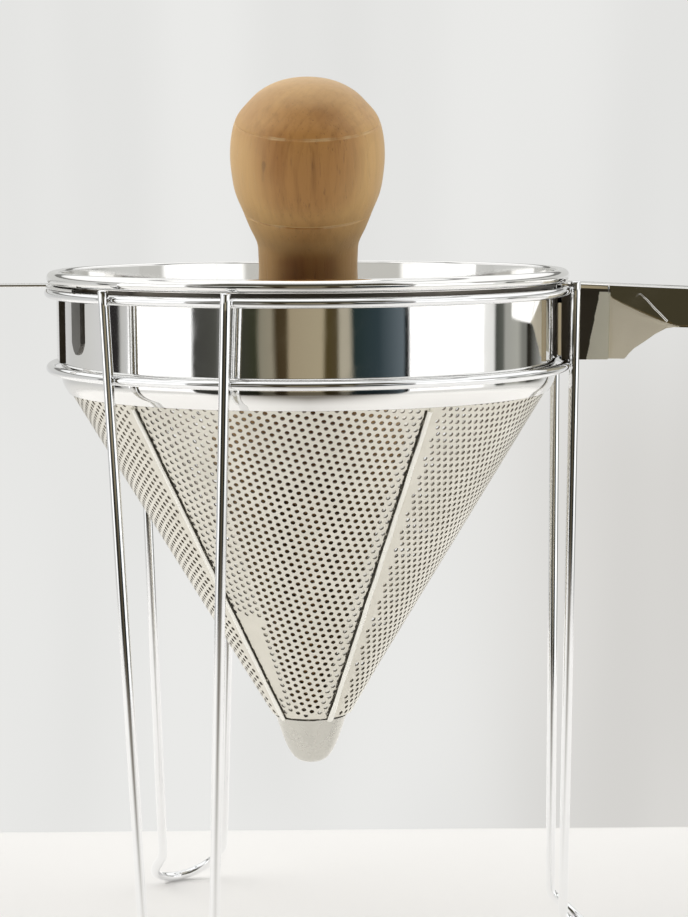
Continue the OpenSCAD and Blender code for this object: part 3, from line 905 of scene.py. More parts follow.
def hook_tongue(azimuth_deg):
    """A tongue with a pointed lower tip, lying on the band."""
    # lower edge: distance from the middle, height
    tip_offsets, tip_heights = [0, 0.8, 2.4, 3.8, 4.2], [235.0, 235.15, 236.3, 238.5, 239.5]
    cols, rows = 35, 6
    offsets = np.linspace(-4.2, 4.2, cols)
    lows = np.interp(abs(offsets), tip_offsets, tip_heights)
    verts = []
    for r, ease in ((BAND_R - 0.02, 0.0), (BAND_R + 0.97, 0.18)):
        for offset, low in zip(offsets, lows):
            a = math.radians(azimuth_deg) + offset * (1 - ease / 6) / BAND_R
            for k in range(rows):
                z = low + ease + (HOOK_Z + HOOK_T / 2 - low - ease) * k / 5
                verts.append((r * math.cos(a), r * math.sin(a), z))

    def at(layer, i, j):
        return (layer * cols + i) * rows + j

    faces = []
    for i in range(cols - 1):
        for j in range(rows - 1):
            faces.append((at(1, i, j), at(1, i + 1, j), at(1, i + 1, j + 1), at(1, i, j + 1)))
            faces.append((at(0, i, j), at(0, i, j + 1), at(0, i + 1, j + 1), at(0, i + 1, j)))
        faces.append((at(0, i, 0), at(0, i + 1, 0), at(1, i + 1, 0), at(1, i, 0)))
        faces.append((at(0, i, 5), at(1, i, 5), at(1, i + 1, 5), at(0, i + 1, 5)))
    end = cols - 1
    for j in range(rows - 1):
        faces.append((at(0, 0, j), at(1, 0, j), at(1, 0, j + 1), at(0, 0, j + 1)))
        faces.append((at(0, end, j), at(0, end, j + 1), at(1, end, j + 1), at(1, end, j)))
    return verts, faces


def rest_hook():
    crosspiece = hook_bar(31, BAND_R + 0.12, BAND_R + 5.2, HOOK_Z + 0.04,
                          HOOK_Z + HOOK_T - 0.04, segs=60, ease=0.22)
    plate = hook_bar(13.5, BAND_R - 0.02, BAND_R + 1.38, LOWER_RING_Z + RING_WIRE_R + 0.6,
                     HOOK_Z + HOOK_T / 2, segs=40, ease=0.3)
    parts = [(*hook_strip(), 0), (*crosspiece, 0), (*plate, 0)]
    plate_end = sum(len(faces) for _, faces, _ in parts)
    # the tongues get the painted shade steel
    parts += [(*hook_tongue(180 + side * 27), 1) for side in (-1, 1)]
    verts, faces, mats = join(parts)
    # painted shade: the plate's two end faces are painted dark
    mats[plate_end - 2:plate_end] = [2, 2]
    ob = make("rest_hook_strip", verts, faces, [MIRROR_HANDLE, SHADED_TONGUE, SHADED], mats, sharp=38)
    register(ob, "strainer", "rest_hook")


rest_hook()


# ---------------------------------------------------------------- handle
CREASE_START, CREASE_END = 111.6, 150         # x range of the crease under the barrel
# lower edge of the barrel: high at the root, falling in a curve to the grip's hem
CREASE_X = [111.6, 113.2, 117, 122, 127, 131, 134, 138]
CREASE_Z = [254.4, 252.6, 250.6, 248.2, 246.0, 244.4, 243.4, 242.2]
# lower edge of the root: x, height above ROOT_Z
ROOT_EDGE = [(93, 0), (118.2, 0), (119.6, 1.9), (121.5, 3.9), (125.2, 6.4), (129, 9.2),
             (133.2, 11.5)]
GRIP_BLEND = (136, 142)                       # x range from the root's edge to the grip's
# bead in the pressed crease: x, z
CREASE_BEAD = [
    (121.5, 252.9), (122.3, 254.0), (123.5, 254.3), (124.6, 253.2), (126.1, 251.9),
    (127.6, 250.2), (128.9, 248.8), (130.3, 247.4), (131.7, 246.0), (132.8, 244.8),
    (133.6, 244.1)]


def handle_top(x):
    return HANDLE_TOP - (x - HANDLE_TOP_X) * HANDLE_SLOPE


def grip_bottom(x):
    return handle_top(x) - 14.9 + 2 * max(0.0, (x - 134) / 117)


def handle_bottom(x):
    if x >= GRIP_BLEND[1]:
        return grip_bottom(x)
    xs = [edge_x for edge_x, _ in ROOT_EDGE] + list(GRIP_BLEND)
    zs = [ROOT_Z + rise for _, rise in ROOT_EDGE] + [grip_bottom(end) for end in GRIP_BLEND]
    return float(np.interp(x, xs, zs))


def crease_z(x):
    return float(np.interp(x, CREASE_X, CREASE_Z))


def half_section(x, inset):
    """(y, z) points from the top's middle down one side to the hem."""
    top, bottom = handle_top(x) - inset, handle_bottom(x)
    end = 1.0
    if x > HANDLE_ROUND_X:
        end = math.sqrt(max(0.0, 1 - ((x - HANDLE_ROUND_X) / HANDLE_HALF) ** 2))
    width = max(0.02, HANDLE_HALF * end - inset)
    corner = min(0.7, width)
    shoulder = top - corner
    creased = x >= CREASE_START
    foot = crease_z(x) if creased and x < CREASE_END else bottom

    def wall(z):
        if not creased:
            return width
        if z < foot:
            # gusset: leans in below the crease
            return width - 0.17 * (foot - z) * smoothstep(foot - z, -1.0, 1.5)
        # the barrel's side leans in a little towards its top edge
        return width - 0.06 * (z - foot) * end

    points = []
    for t in np.linspace(0, 1, 7)[:-1]:
        y = (width - corner) * t
        points.append((y, top - 0.03 * (y / HANDLE_HALF) ** 2 * HANDLE_HALF))
    for a in np.radians(np.linspace(90, 0, 14)):
        points.append((wall(shoulder) - corner + corner * math.cos(a),
                       shoulder + corner * math.sin(a)))
    heights = np.linspace(shoulder, bottom, 26)[1:]
    if creased and x < GRIP_BLEND[1]:
        # one row runs exactly along the crease
        row = max(foot, bottom + 0.6)
        along = np.concatenate([np.linspace(shoulder, row, 13)[1:],
                                np.linspace(row, bottom, 14)[1:]])
        away = smoothstep(x, 135.0, 141.0)
        heights = along * (1 - away) + heights * away
    return points + [(wall(z), z) for z in heights]


def handle_material(x, y, z):
    """Slot of a face by its middle: on the front side the root has painted shade, then a patch
    of painted reflection, and the gusset its own painted reflection.
    """
    # where the root's painted shade ends and its painted reflection begins
    shade_edge = 103.4 + (z - ROOT_Z) / 26 * 5.0
    if y < -6 and x < 112.2 and z < 256.2:
        return 1 if x < shade_edge or z > 255.0 else 2
    if y < -6 and 112.2 <= x < 138 and z < crease_z(x) + 0.02:
        return 3
    return 0


def handle_mesh():
    round_end = HANDLE_HALF * np.sin(np.radians(np.linspace(4, 89.2, 26)))
    stations = np.concatenate([
        np.linspace(HANDLE_START, 111.0, 70), np.linspace(111.2, 113.2, 9),
        np.linspace(113.6, 142, 58), np.linspace(143, HANDLE_ROUND_X, 60),
        HANDLE_ROUND_X + round_end])
    xs = sorted(set(round(x, 3) for x in stations))
    count = len(xs)
    hem = len(half_section(xs[0], 0.0)) - 1
    verts, faces = [], []
    for inset in (0.0, HANDLE_T):
        for x in xs:
            row = half_section(x, inset)
            for j in range(-hem, hem + 1):
                y, z = row[abs(j)]
                verts.append((x, y if j >= 0 else -y, z))

    def at(layer, i, j):
        """j runs from -hem on the front side over the top (0) to hem on the rear side."""
        return (layer * count + i) * (2 * hem + 1) + j + hem

    for i in range(count - 1):
        k = i + 1
        for j in range(-hem, hem):
            faces.append((at(0, i, j), at(0, k, j), at(0, k, j + 1), at(0, i, j + 1)))
            faces.append((at(1, i, j), at(1, i, j + 1), at(1, k, j + 1), at(1, k, j)))
        faces.append((at(0, i, hem), at(0, k, hem), at(1, k, hem), at(1, i, hem)))
        faces.append((at(0, k, -hem), at(0, i, -hem), at(1, i, -hem), at(1, k, -hem)))
    end = count - 1
    for j in range(-hem, hem):
        faces.append((at(0, 0, j), at(0, 0, j + 1), at(1, 0, j + 1), at(1, 0, j)))
        faces.append((at(0, end, j + 1), at(0, end, j), at(1, end, j), at(1, end, j + 1)))
    return verts, faces


def cut_hanging_hole(ob):
    profile = [(0.001, -20), (HANGING_HOLE_R, -20), (HANGING_HOLE_R, 20), (0.001, 20)]
    verts, faces = revolve(profile, 48)
    hole_x = HANDLE_ROUND_X - 2
    verts = [(x + hole_x, y, z + handle_top(hole_x)) for x, y, z in verts]
    cutter = make("hole_cutter", verts, faces, [MIRROR_HANDLE])
    cut = ob.modifiers.new("hole", "BOOLEAN")
    cut.operation, cut.object, cut.solver = "DIFFERENCE", cutter, "EXACT"
    evaluated = ob.evaluated_get(bpy.context.evaluated_depsgraph_get())
    mesh = bpy.data.meshes.new_from_object(evaluated)
    ob.modifiers.clear()
    ob.data = mesh
    bpy.data.objects.remove(cutter)
    mesh.set_sharp_from_angle(angle=math.radians(45))


def handle_bead(name, path, radius):
    ob = make(name, *wire(path, radius, 14, dome=0.3), [MIRROR_HANDLE], sharp=60)
    register(ob, "strainer")


def handle():
    """A channel, open below: a barrel along the top, with a gusset under it at the root."""
    verts, faces = handle_mesh()
    mats = []
    for face in faces:
        centre = [sum(verts[i][axis] for i in face) / len(face) for axis in range(3)]
        mats.append(handle_material(*centre))
    ob = make("handle_shell", verts, faces, [MIRROR_HANDLE, SHADED, ROOT_REFLECTION, GUSSET_REFLECTION], mats,
              sharp=45)
    cut_hanging_hole(ob)
    register(ob, "strainer", "handle")
    sides = ((-1, "front"), (1, "rear"))
    for side, place in sides:
        path = [(x, side * (9.80 - 0.06 * max(0.0, z - 245)), z) for x, z in CREASE_BEAD]
        handle_bead("handle_crease_" + place, path, 0.42)
    # rolled hem along each lower edge of the grip
    for side, place in sides:
        path = [(x, side * (HANDLE_HALF - 0.62), handle_bottom(x) + 0.45)
                for x in np.linspace(136, HANDLE_ROUND_X - 0.5, 60)]
        handle_bead("handle_hem_" + place, path, 0.52)


handle()


def bracket():
    """A plate bent round the band, with two cheeks reaching into the handle."""
    low, high = extent("handle_bracket", 2)
    outer_r, plate_top, ease = BAND_R + 0.95, high - 1.2, 0.25
    profile = ([(BAND_R - 0.04, low + ease), (BAND_R - 0.02, low)]
               + eased_side(outer_r, low, plate_top, ease) + [(BAND_R - 0.04, plate_top)])
    parts = [(*revolve(profile, 48, -23.4, 23.4), 0)]
    for side in (-1, 1):
        inner_y, outer_y = side * 7.86, side * 8.84
        xs = np.linspace(BAND_R + 0.4, 111.4, 14)
        verts = []
        for x in xs:
            top = min(high, 255.0 - (x - 95) * HANDLE_SLOPE) - 3.9
            verts += [(x, inner_y, low + 0.1), (x, outer_y, low + 0.1),
                      (x, outer_y, top), (x, inner_y, top)]
        parts.append((verts, loft(len(xs), 4, flip=side > 0), 0))
    verts, faces, mats = join(parts)
    ob = make("handle_bracket_plate", verts, faces, [MIRROR], mats, sharp=35)
    register(ob, "strainer", "handle_bracket")


bracket()


# ---------------------------------------------------------------- pestle
def wood_colour(tree, co, streak, pores):
    x, y, z = tree.split(co)
    knob = KNOB_Z * MM
    # growth rings about an axis beside the pestle, warped by stretched noise
    warp = tree.noise(tree.scaled(co, (22, 22, 5)), scale=1.0, rough=0.55)
    ring_x, ring_y = tree.plus(x, 0.045), tree.plus(y, -0.030)
    radius = tree.math("SQRT", tree.plus(tree.times(ring_x, ring_x),
                                         tree.times(ring_y, ring_y)))
    rings = tree.plus(tree.times(radius, 330.0), tree.times(warp, 4.5))
    rings = tree.plus(rings, tree.times(z, 5.0))
    saw = tree.math("FRACT", rings)
    ring_line = tree.window(saw, 0.55, 0.92, 0.93, 1.0)
    patch = tree.noise(tree.scaled(co, (70, 70, 11)), scale=1.0, rough=0.55, distortion=0.5)
    light, middle, dark = (0.52, 0.275, 0.088), (0.40, 0.190, 0.054), (0.23, 0.098, 0.024)
    col = tree.mix(tree.fade(patch, 0.36, 0.66), light, middle)
    col = tree.mix(tree.times(ring_line, 0.13), col, dark)
    col = tree.mix(tree.times(tree.fade(streak, 0.45, 0.78), 0.42), col, dark)
    col = tree.mix(tree.times(pores, 0.45), col, (0.16, 0.078, 0.03))
    # a few short dark flecks
    flecks = tree.noise(tree.scaled(co, (170, 170, 90)), scale=1.0, detail=1.0, rough=0.4)
    col = tree.mix(tree.times(tree.fade(flecks, 0.745, 0.79), 0.7), col, (0.17, 0.08, 0.03))
    # painted shade: darker towards the neck, under the knob
    tone = tree.fade(z, knob - 0.036, knob - 0.012)
    col = tree.mix(tone, tree.multiply(col, (0.62, 0.56, 0.50)), col)
    # painted shade on the part that works in the cone, where the cone's wall shades it
    cone_shade = tree.fade(z, knob - 0.095, knob - 0.060)
    col = tree.mix(cone_shade, tree.multiply(col, (0.40, 0.38, 0.36)), col)
    # paler raw wood at the bottom of the turned lines
    for line_z in TURNED_LINES:
        distance = tree.math("ABSOLUTE", tree.minus(z, line_z * MM))
        wobble = tree.times(tree.noise(co, scale=260.0, detail=2.0), 0.0004)
        near = tree.fade(tree.minus(distance, wobble), 0.00050, 0.0001)
        gaps = tree.noise(tree.scaled(co, (120, 120, 10)), scale=1.0, detail=2.0)
        raw = tree.times(tree.times(near, tree.fade(gaps, 0.40, 0.60)), 0.60)
        col = tree.mix(raw, col, (0.66, 0.50, 0.29))
    # end grain on the crown
    crown = tree.fade(z, PESTLE_TOP * MM - 0.010, PESTLE_TOP * MM - 0.001)
    col = tree.mix(tree.times(crown, 0.35), col, (0.52, 0.33, 0.17))
    # painted light: paler towards the silhouette as a painted sheen of the side light, and
    # deeper where it is seen square on as painted shade from the dark room in front
    facing = tree.add("ShaderNodeLayerWeight").outputs["Facing"]
    deep = tree.multiply(col, (0.84, 0.77, 0.66))
    paleness = tree.fade(z, knob + 0.018, knob + 0.004, low=0.28, high=0.55)
    pale = tree.mix(paleness, col, (0.66, 0.44, 0.19))
    pale = tree.mix(tone, tree.multiply(pale, (0.80, 0.74, 0.66)), pale)
    return tree.mix(tree.fade(facing, 0.04, 0.42), deep, pale)


def wood_material():
    mat, tree, surface = material("turned_wood")
    co = tree.add("ShaderNodeAttribute", attribute_name="wood_co").outputs["Vector"]
    streak = tree.noise(tree.scaled(co, (420, 420, 26)), scale=1.0, rough=0.6)
    pore_noise = tree.noise(tree.scaled(co, (1500, 1500, 120)), scale=1.0, detail=2.0, rough=0.6)
    pores = tree.fade(pore_noise, 0.60, 0.74)
    tree.put(surface["Base Color"], wood_colour(tree, co, streak, pores))
    tree.put(surface["Roughness"], tree.plus(0.40, tree.times(streak, 0.16)))
    for name, value in (("Specular IOR Level", 0.36), ("Sheen Weight", 0.30),
                        ("Sheen Roughness", 0.45), ("Sheen Tint", (1.0, 0.90, 0.66))):
        tree.put(surface[name], value)
    relief = tree.plus(tree.times(streak, 0.5), tree.times(pores, -0.7))
    turning = tree.noise(tree.scaled(co, (3, 3, 900)), scale=1.0, detail=2.0)
    normal = tree.bump(relief, strength=0.35, distance=0.0003)
    normal = tree.bump(turning, strength=0.12, distance=0.0002, normal=normal)
    tree.put(surface["Normal"], normal)
    return mat


def spline(a, b, c, d, t):
    """Catmull-Rom between b and c."""
    return 0.5 * (2 * b + (c - a) * t + (2 * a - 5 * b + 4 * c - d) * t * t
                  + (3 * b - a - 3 * c + d) * t ** 3)


def pestle_profile():
    """(r, z) along the turned axis, z from the point where the body's sides would meet."""
    shoulder = SHOULDER_R / math.tan(PESTLE_HALF)
    # z, r
    stations = [
        (shoulder - 3, SHOULDER_R - 3 * math.tan(PESTLE_HALF)), (shoulder + 2, SHOULDER_R),
        (shoulder + 9, SHOULDER_R - 1.5), (shoulder + 18, SHOULDER_R - 8),
        (shoulder + 30, SHOULDER_R - 15), (KNOB_Z - 62, NECK_R + 1.2),
        (KNOB_Z - 44, NECK_R), (KNOB_Z - 36, NECK_R), (KNOB_Z - 31, NECK_R + 0.5),
        (KNOB_Z - 25, NECK_R + 3.1), (KNOB_Z - 19, NECK_R + 5.4), (KNOB_Z - 13, KNOB_R - 1.6),
        (KNOB_Z - 7, KNOB_R - 0.5), (KNOB_Z, KNOB_R), (KNOB_Z + 7, KNOB_R - 0.6),
        (KNOB_Z + 13, KNOB_R - 2.4), (KNOB_Z + 18, KNOB_R - 6.4), (KNOB_Z + 21.5, KNOB_R - 10.1),
        (KNOB_Z + 24.3, KNOB_R - 15.2), (KNOB_Z + 25.8, KNOB_R - 20.8), (PESTLE_TOP, 0)]
    curve = []
    for i in range(len(stations) - 1):
        near = (stations[max(i - 1, 0)], stations[i], stations[i + 1],
                stations[min(i + 2, len(stations) - 1)])
        for k in range(14):
            z, r = (spline(*values, k / 14) for values in zip(*near))
            curve.append((z, max(0.01, r)))
    tip_z = PESTLE_TIP_R / math.sin(PESTLE_HALF)
    tip = [(tip_z + PESTLE_TIP_R * math.sin(a), PESTLE_TIP_R * math.cos(a))
           for a in np.linspace(-math.pi / 2 + 0.02, -PESTLE_HALF, 24)]
    zs, rs = (np.array(values) for values in zip(*(tip + curve)))
    # more points on the long straight body and round the turned lines, then cut the lines
    body = np.linspace(tip[-1][0] + 2, stations[0][0] - 1, 60)
    lines = [np.linspace(z - 0.9, z + 0.9, 19) for z in TURNED_LINES]
    all_z = np.unique(np.round(np.concatenate([zs, body] + lines), 4))
    order = np.argsort(zs)
    all_r = np.interp(all_z, zs[order], rs[order])
    for z in TURNED_LINES:
        all_r -= 0.26 * np.exp(-((all_z - z) / 0.26) ** 2)
    return [(float(r), float(z)) for z, r in zip(all_z, np.maximum(all_r, 0.01))]


def pestle():
    segs = 160
    profile = pestle_profile()
    round_verts, faces = revolve(profile, segs, closed=False)
    # slightly out of round
    verts = []
    for x, y, z in round_verts:
        k = 0.9985 + 0.0012 * math.sin(2 * math.atan2(y, x) + z * 0.03)
        verts.append((x * k, y * k, z))
    close_poles(verts, faces, segs, profile[0][1], profile[-1][1])
    verts = [(x, y, min(z, PESTLE_TOP)) for x, y, z in verts]
    # the lean is part of the mesh; the wood's figure follows the turned axis
    lean = CONE_HALF - PESTLE_HALF
    apex = APEX_Z + SHEET / SIN_CONE + 0.15 / SIN_CONE
    c, s = math.cos(lean), math.sin(lean)
    placed = [(x, y * c - z * s, y * s + z * c + apex) for x, y, z in verts]
    ob = make("pestle_turned", placed, faces, [wood_material()], sharp=50)
    attribute = ob.data.attributes.new("wood_co", "FLOAT_VECTOR", "POINT")
    attribute.data.foreach_set("vector", (np.array(verts) * MM).astype(np.float32).ravel())
    register(ob, "pestle", "pestle")


pestle()


# ---------------------------------------------------------------- floor
def linear(colour):
    """sRGB 0-255 to linear."""
    return tuple(c / 255 / 12.92 if c / 255 <= 0.04045 else ((c / 255 + 0.055) / 1.055) ** 2.4
                 for c in colour)


BACKDROP = linear((229, 229, 227))


def backdrop_colour(tree, vector, x, z):
    """Pale cloth with painted shading of faint hanging folds, and painted shade low down on the
    right.
    """
    fold = tree.noise(vector, scale=1.0, detail=2.0, distortion=0.3)
    light, dark = (tuple(c * gain for c in BACKDROP) for gain in (1.05, 0.95))
    col = tree.mix(tree.fade(fold, 0.36, 0.64), light, dark)
    shade = tree.times(tree.fade(x, 0.04, 0.13), tree.fade(z, -0.03, -0.13))
    return tree.mix(shade, col, tree.multiply(col, (0.89, 0.875, 0.86)))


def floor_backdrop(tree, incoming):
    """Emission that carries the backdrop on over the floor."""
    stretch = tree.add("ShaderNodeVectorMath", operation="MULTIPLY")
    tree.put(stretch.inputs[0], incoming)
    stretch.inputs[1].default_value = (-9, -9, -0.8)
    sight = tree.add("ShaderNodeVectorMath", operation="SCALE")
    tree.put(sight.inputs[0], incoming)
    sight.inputs["Scale"].default_value = -1.0
    x, _, z = tree.split(sight.outputs[0])
    emission = tree.add("ShaderNodeEmission")
    tree.put(emission.inputs[0], backdrop_colour(tree, stretch.outputs[0], x, z))
    return emission.outputs[0]


def floor_material():
    mat, tree, surface = material("pale_floor")
    geometry = tree.add("ShaderNodeNewGeometry").outputs
    x, y, _ = tree.split(geometry["Position"])
    toward_y = tree.split(geometry["Incoming"])[1]
    rays = tree.add("ShaderNodeLightPath").outputs
    radius = tree.math("SQRT", tree.plus(tree.times(x, x), tree.times(y, y)))
    co = tree.object_coords()
    tone = tree.noise(co, scale=6.0)
    tree.put(surface["Base Color"], tree.mix(tone, (0.78, 0.770, 0.766), (0.75, 0.740, 0.736)))
    tree.put(surface["Emission Color"], (1.0, 0.985, 0.975))
    # it glows faintly, and more in mirrors
    glossy = tree.add("ShaderNodeLightPath").outputs["Is Glossy Ray"]
    tree.put(surface["Emission Strength"], tree.plus(0.05, tree.times(glossy, 0.15)))
    surface["Roughness"].default_value = 0.75
    surface["Specular IOR Level"].default_value = 0.15
    grain = tree.noise(co, scale=800.0, rough=0.6)
    tree.put(surface["Normal"], tree.bump(grain, strength=0.08, distance=0.0005))
    table = mat.node_tree.nodes["Principled BSDF"].outputs[0]
    # beyond the table's rear edge, seen from the front, and far away it becomes the backdrop
    edge = tree.times(tree.fade(y, 0.1745, 0.1780), tree.fade(toward_y, -0.3, -0.75))
    beyond = tree.math("MAXIMUM", edge, tree.fade(radius, 1.0, 2.6))
    beyond = tree.times(beyond, rays["Is Camera Ray"])
    seen = tree.mix_shader(beyond, table, floor_backdrop(tree, geometry["Incoming"]))
    # painted shade: mirrors see the table in front painted darker, falling off into the dark
    # room in front
    ahead = tree.minus(tree.times(y, -1.0), tree.times(tree.math("ABSOLUTE", x), 0.75))
    dim = tree.times(tree.fade(ahead, 0.02, 0.52), tree.times(rays["Is Glossy Ray"], 0.88))
    front_floor_shade = tree.add("ShaderNodeEmission")
    tree.put(front_floor_shade.inputs[0], (0.12, 0.10, 0.07))
    seen = tree.mix_shader(dim, seen, front_floor_shade.outputs[0])
    # and only its near part
    clear = tree.add("ShaderNodeBsdfTransparent").outputs[0]
    hidden = tree.times(rays["Is Glossy Ray"], tree.fade(radius, 0.55, 0.85))
    seen = tree.mix_shader(hidden, seen, clear)
    tree.put(mat.node_tree.nodes["Material Output"].inputs["Surface"], seen)
    return mat


def floor():
    count = 40
    steps = np.linspace(-FLOOR_HALF, FLOOR_HALF, count)
    verts = [(x, y, 0.0) for y in steps for x in steps]
    faces = []
    for j in range(count - 1):
        for i in range(count - 1):
            k = j * count + i
            faces.append((k, k + 1, k + count + 1, k + count))
    make("floor", verts, faces, [floor_material()], smooth=False)


floor()


# ---------------------------------------------------------------- world
# A light tent with a darker room in front. Soft boxes, flags and cards as (degrees, colour).
WHITE, GREY = (1.55, 1.55, 1.55), (0.62, 0.62, 0.62)
FRONT_CARDS = [  # from -X round the front to +X
    (0, GREY), (1, WHITE), (5, WHITE), (10, WHITE), (36, WHITE),
    (37, (0.05, 0.05, 0.045)), (48, (0.08, 0.08, 0.07)), (50, (0.20, 0.20, 0.19)),
    (55, (0.18, 0.18, 0.17)), (57, (0.05, 0.05, 0.04)), (67, (0.038, 0.040, 0.022)),
    (69, (0.26, 0.24, 0.18)), (73, (0.30, 0.27, 0.20)), (75, (0.055, 0.038, 0.018)),
    (79, (0.07, 0.05, 0.025)), (81, (0.36, 0.30, 0.20)), (96, (0.41, 0.35, 0.235)),
    (98, (0.075, 0.055, 0.02)), (103, (0.08, 0.06, 0.03)), (104.5, (0.44, 0.40, 0.31)),
    (107.5, (0.44, 0.40, 0.31)), (109, (0.020, 0.034, 0.034)), (121, (0.032, 0.050, 0.058)),
    (133, (0.13, 0.16, 0.18)), (134, (0.015, 0.016, 0.016)), (136, (0.015, 0.016, 0.016)),
    (137, WHITE), (176, WHITE), (178, (0.95, 0.95, 0.93)), (180, (0.9, 0.9, 0.88))]
REAR_CARDS = [  # from +X round the rear to -X
    (0, (0.9, 0.9, 0.88)), (4, (0.85, 0.85, 0.83)), (5.5, (0.07, 0.075, 0.065)),
    (10, (0.12, 0.125, 0.11)), (12, (0.38, 0.38, 0.35)), (21, (0.42, 0.42, 0.38)),
    (25, (0.22, 0.22, 0.20)), (28, (0.20, 0.20, 0.18)), (29.5, (0.02, 0.018, 0.014)),
    (33, (0.03, 0.028, 0.022)), (36, (0.10, 0.10, 0.09)), (44, (0.30, 0.30, 0.28)),
    (52, (0.72, 0.72, 0.71)), (90, (0.80, 0.80, 0.79)), (128, (0.62, 0.62, 0.61)),
    (146, (0.66, 0.66, 0.64)), (167, (0.72, 0.72, 0.72)), (168.5, (0.022, 0.02, 0.02)),
    (174, (0.03, 0.028, 0.028)), (175.5, (0.55, 0.55, 0.53)), (180, GREY)]


def tent_ceiling(tree, elevation):
    """White, with two dark strips."""
    col = tree.mix(tree.fade(elevation, 35.0, 80.0), (1.18, 1.18, 1.17), (1.05, 1.05, 1.04))
    strip = tree.window(elevation, 51.0, 52.5, 55.5, 57.0)
    high_strip = tree.window(elevation, 70.0, 71.0, 73.0, 74.0)
    col = tree.mix(tree.times(strip, 0.85), col, (0.10, 0.10, 0.095))
    return tree.mix(tree.times(high_strip, 0.7), col, (0.14, 0.14, 0.13))


def front_windows(tree, azimuth, elevation):
    """Bright windows low in front, left and right, with an olive wall between them."""
    lit = tree.math("MAXIMUM", tree.window(azimuth, -147.0, -145.0, -112.0, -108.0),
                    tree.window(azimuth, -72.0, -68.0, -42.0, -40.0))
    lit = tree.times(lit, tree.fade(elevation, 11.0, 9.0))
    pane = tree.math("MAXIMUM", tree.window(azimuth, -147.0, -145.0, -140.0, -136.0),
                     tree.window(azimuth, -60.0, -56.0, -42.0, -40.0))
    pane = tree.times(pane, tree.window(elevation, 1.6, 2.6, 6.8, 8.2))
    window = tree.mix(pane, (0.60, 0.59, 0.555), (1.35, 1.34, 1.31))
    return tree.mix(lit, (0.055, 0.047, 0.026), window)


def tent_colour(tree, direction, x, y, z):
    """What mirrors see: the walls, the ceiling and the table."""
    elevation = tree.times(tree.math("ARCSINE", z), 180 / math.pi)
    azimuth = tree.times(tree.math("ARCTAN2", y, x), 180 / math.pi)   # 0 along +X
    sway = tree.noise(direction, scale=5.0, detail=1.0)
    azimuth = tree.plus(azimuth, tree.times(tree.minus(sway, 0.5), 5.0))
    front = tree.ramp(tree.math("DIVIDE", tree.plus(azimuth, 180.0), 180.0),
                      [(angle / 180, colour) for angle, colour in FRONT_CARDS])
    rear = tree.ramp(tree.math("DIVIDE", azimuth, 180.0),
                     [(angle / 180, colour) for angle, colour in REAR_CARDS])
    walls = tree.mix(tree.math("GREATER_THAN", y, 0.0), front, rear)
    # the ceiling starts higher over the dark room in front
    in_front = tree.window(azimuth, -150.0, -128.0, -54.0, -40.0)
    start = tree.plus(13.0, tree.times(in_front, 24.0))
    up = tree.fade(tree.minus(elevation, start), 0.0, 12.0)
    ceiling = tent_ceiling(tree, elevation)
    # the front is dimmed below the horizon
    below = tree.times(in_front, tree.fade(elevation, -5.0, -8.0))
    walls = tree.mix(below, walls, tree.multiply(walls, (0.30, 0.30, 0.30)))
    # a plain card above the horizon on the right of the front
    right = tree.times(tree.fade(azimuth, -17.0, -13.0), tree.math("LESS_THAN", y, 0.0))
    right = tree.times(tree.fade(elevation, 0.4, 1.6), right)
    walls = tree.mix(right, walls, (0.60, 0.595, 0.57))
    windowed = tree.times(tree.fade(elevation, 0.4, 1.6),
                          tree.window(azimuth, -145.5, -143.0, -44.5, -42.5))
    walls = tree.mix(windowed, walls, front_windows(tree, azimuth, elevation))
    # behind, all above the horizon is grey wall; a dark cornice runs round under the ceiling
    behind = tree.times(tree.math("GREATER_THAN", y, 0.0), tree.fade(elevation, 0.4, 1.6))
    walls = tree.mix(behind, walls, (0.66, 0.66, 0.64))
    cornice = tree.window(elevation, 12.5, 13.5, 18.0, 19.0)
    col = tree.mix(up, walls, ceiling)
    col = tree.mix(tree.times(cornice, 0.8), col, (0.09, 0.088, 0.08))
    # the table beyond the floor that mirrors see, further down in front
    down = tree.fade(tree.plus(elevation, tree.times(in_front, 14.0)), -7.0, -15.0)
    return tree.mix(down, col, (0.80, 0.79, 0.765))


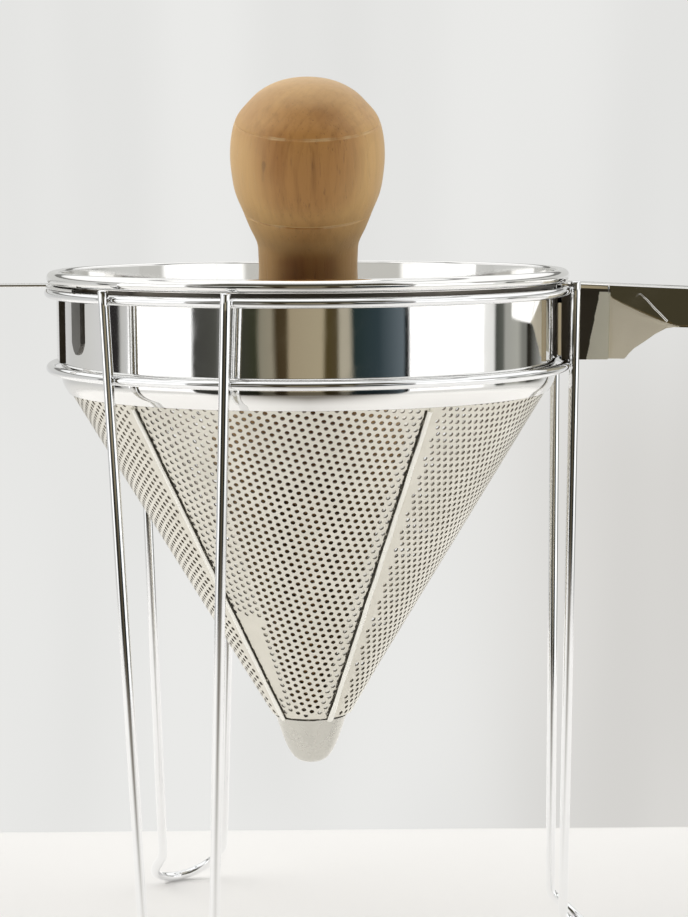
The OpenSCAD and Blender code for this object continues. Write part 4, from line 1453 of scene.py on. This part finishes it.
def world():
    studio = bpy.data.worlds.new("studio")
    scene.world = studio
    studio.use_nodes = True
    tree = Tree(studio.node_tree)
    tree.nodes.clear()
    output = tree.add("ShaderNodeOutputWorld")
    direction = tree.add("ShaderNodeTexCoord").outputs["Generated"]
    x, y, z = tree.split(direction)
    col = tent_colour(tree, direction, x, y, z)
    cloth = backdrop_colour(tree, tree.scaled(direction, (9, 9, 0.8)), x, z)
    # matt things are lit from the sides and above, hardly from the dark room in front
    rays = tree.add("ShaderNodeLightPath").outputs
    diffuse = rays["Is Diffuse Ray"]
    ahead = tree.times(diffuse, tree.fade(y, -0.10, -0.75))
    col = tree.mix(ahead, col, tree.multiply(col, (0.16, 0.16, 0.16)))
    for start, end, gain in ((-0.35, -0.8, 2.7), (0.35, 0.8, 2.0)):
        beside = tree.times(diffuse, tree.fade(x, start, end))
        col = tree.mix(beside, col, tree.multiply(col, (gain, gain * 0.99, gain * 0.95)))
    col = tree.mix(rays["Is Camera Ray"], col, cloth)
    background = tree.add("ShaderNodeBackground")
    tree.put(background.inputs[0], col)
    background.inputs[1].default_value = 1.0
    tree.put(output.inputs[0], background.outputs[0])


def top_light():
    light = bpy.data.lights.new("soft_top", "AREA")
    light.shape = "RECTANGLE"
    light.size, light.size_y = 1.2, 0.9
    light.energy = 1.7
    light.color = (1.0, 0.99, 0.97)
    ob = add_object("soft_top", light)
    ob.location = (-0.25, -0.1, 1.4)
    ob.rotation_euler = (math.radians(4), math.radians(-10), 0)


def camera():
    """Stands in front, looking along +Y and slightly down."""
    position = (0.0, -0.9086, 0.29775)
    yaw, pitch, roll = 0.0144, 0.1155, -0.0046    # radians: to the right, down, about the view
    data = bpy.data.cameras.new("camera")
    ob = add_object("camera", data)
    scene.camera = ob
    data.sensor_width = 36.0
    data.lens = 95.00349
    data.clip_end = 50
    sin_yaw, cos_yaw = math.sin(yaw), math.cos(yaw)
    sin_pitch, cos_pitch = math.sin(pitch), math.cos(pitch)
    forward = np.array([cos_pitch * sin_yaw, cos_pitch * cos_yaw, -sin_pitch])
    level = np.array([cos_yaw, -sin_yaw, 0.0])
    upright = np.array([sin_pitch * sin_yaw, sin_pitch * cos_yaw, cos_pitch])
    right = level * math.cos(roll) + upright * math.sin(roll)
    up = -level * math.sin(roll) + upright * math.cos(roll)
    ob.matrix_world = Matrix([*zip(right, up, -forward, position), (0, 0, 0, 1)])


world()
top_light()
camera()

scene.view_settings.view_transform = "Standard"
scene.view_settings.look = "None"
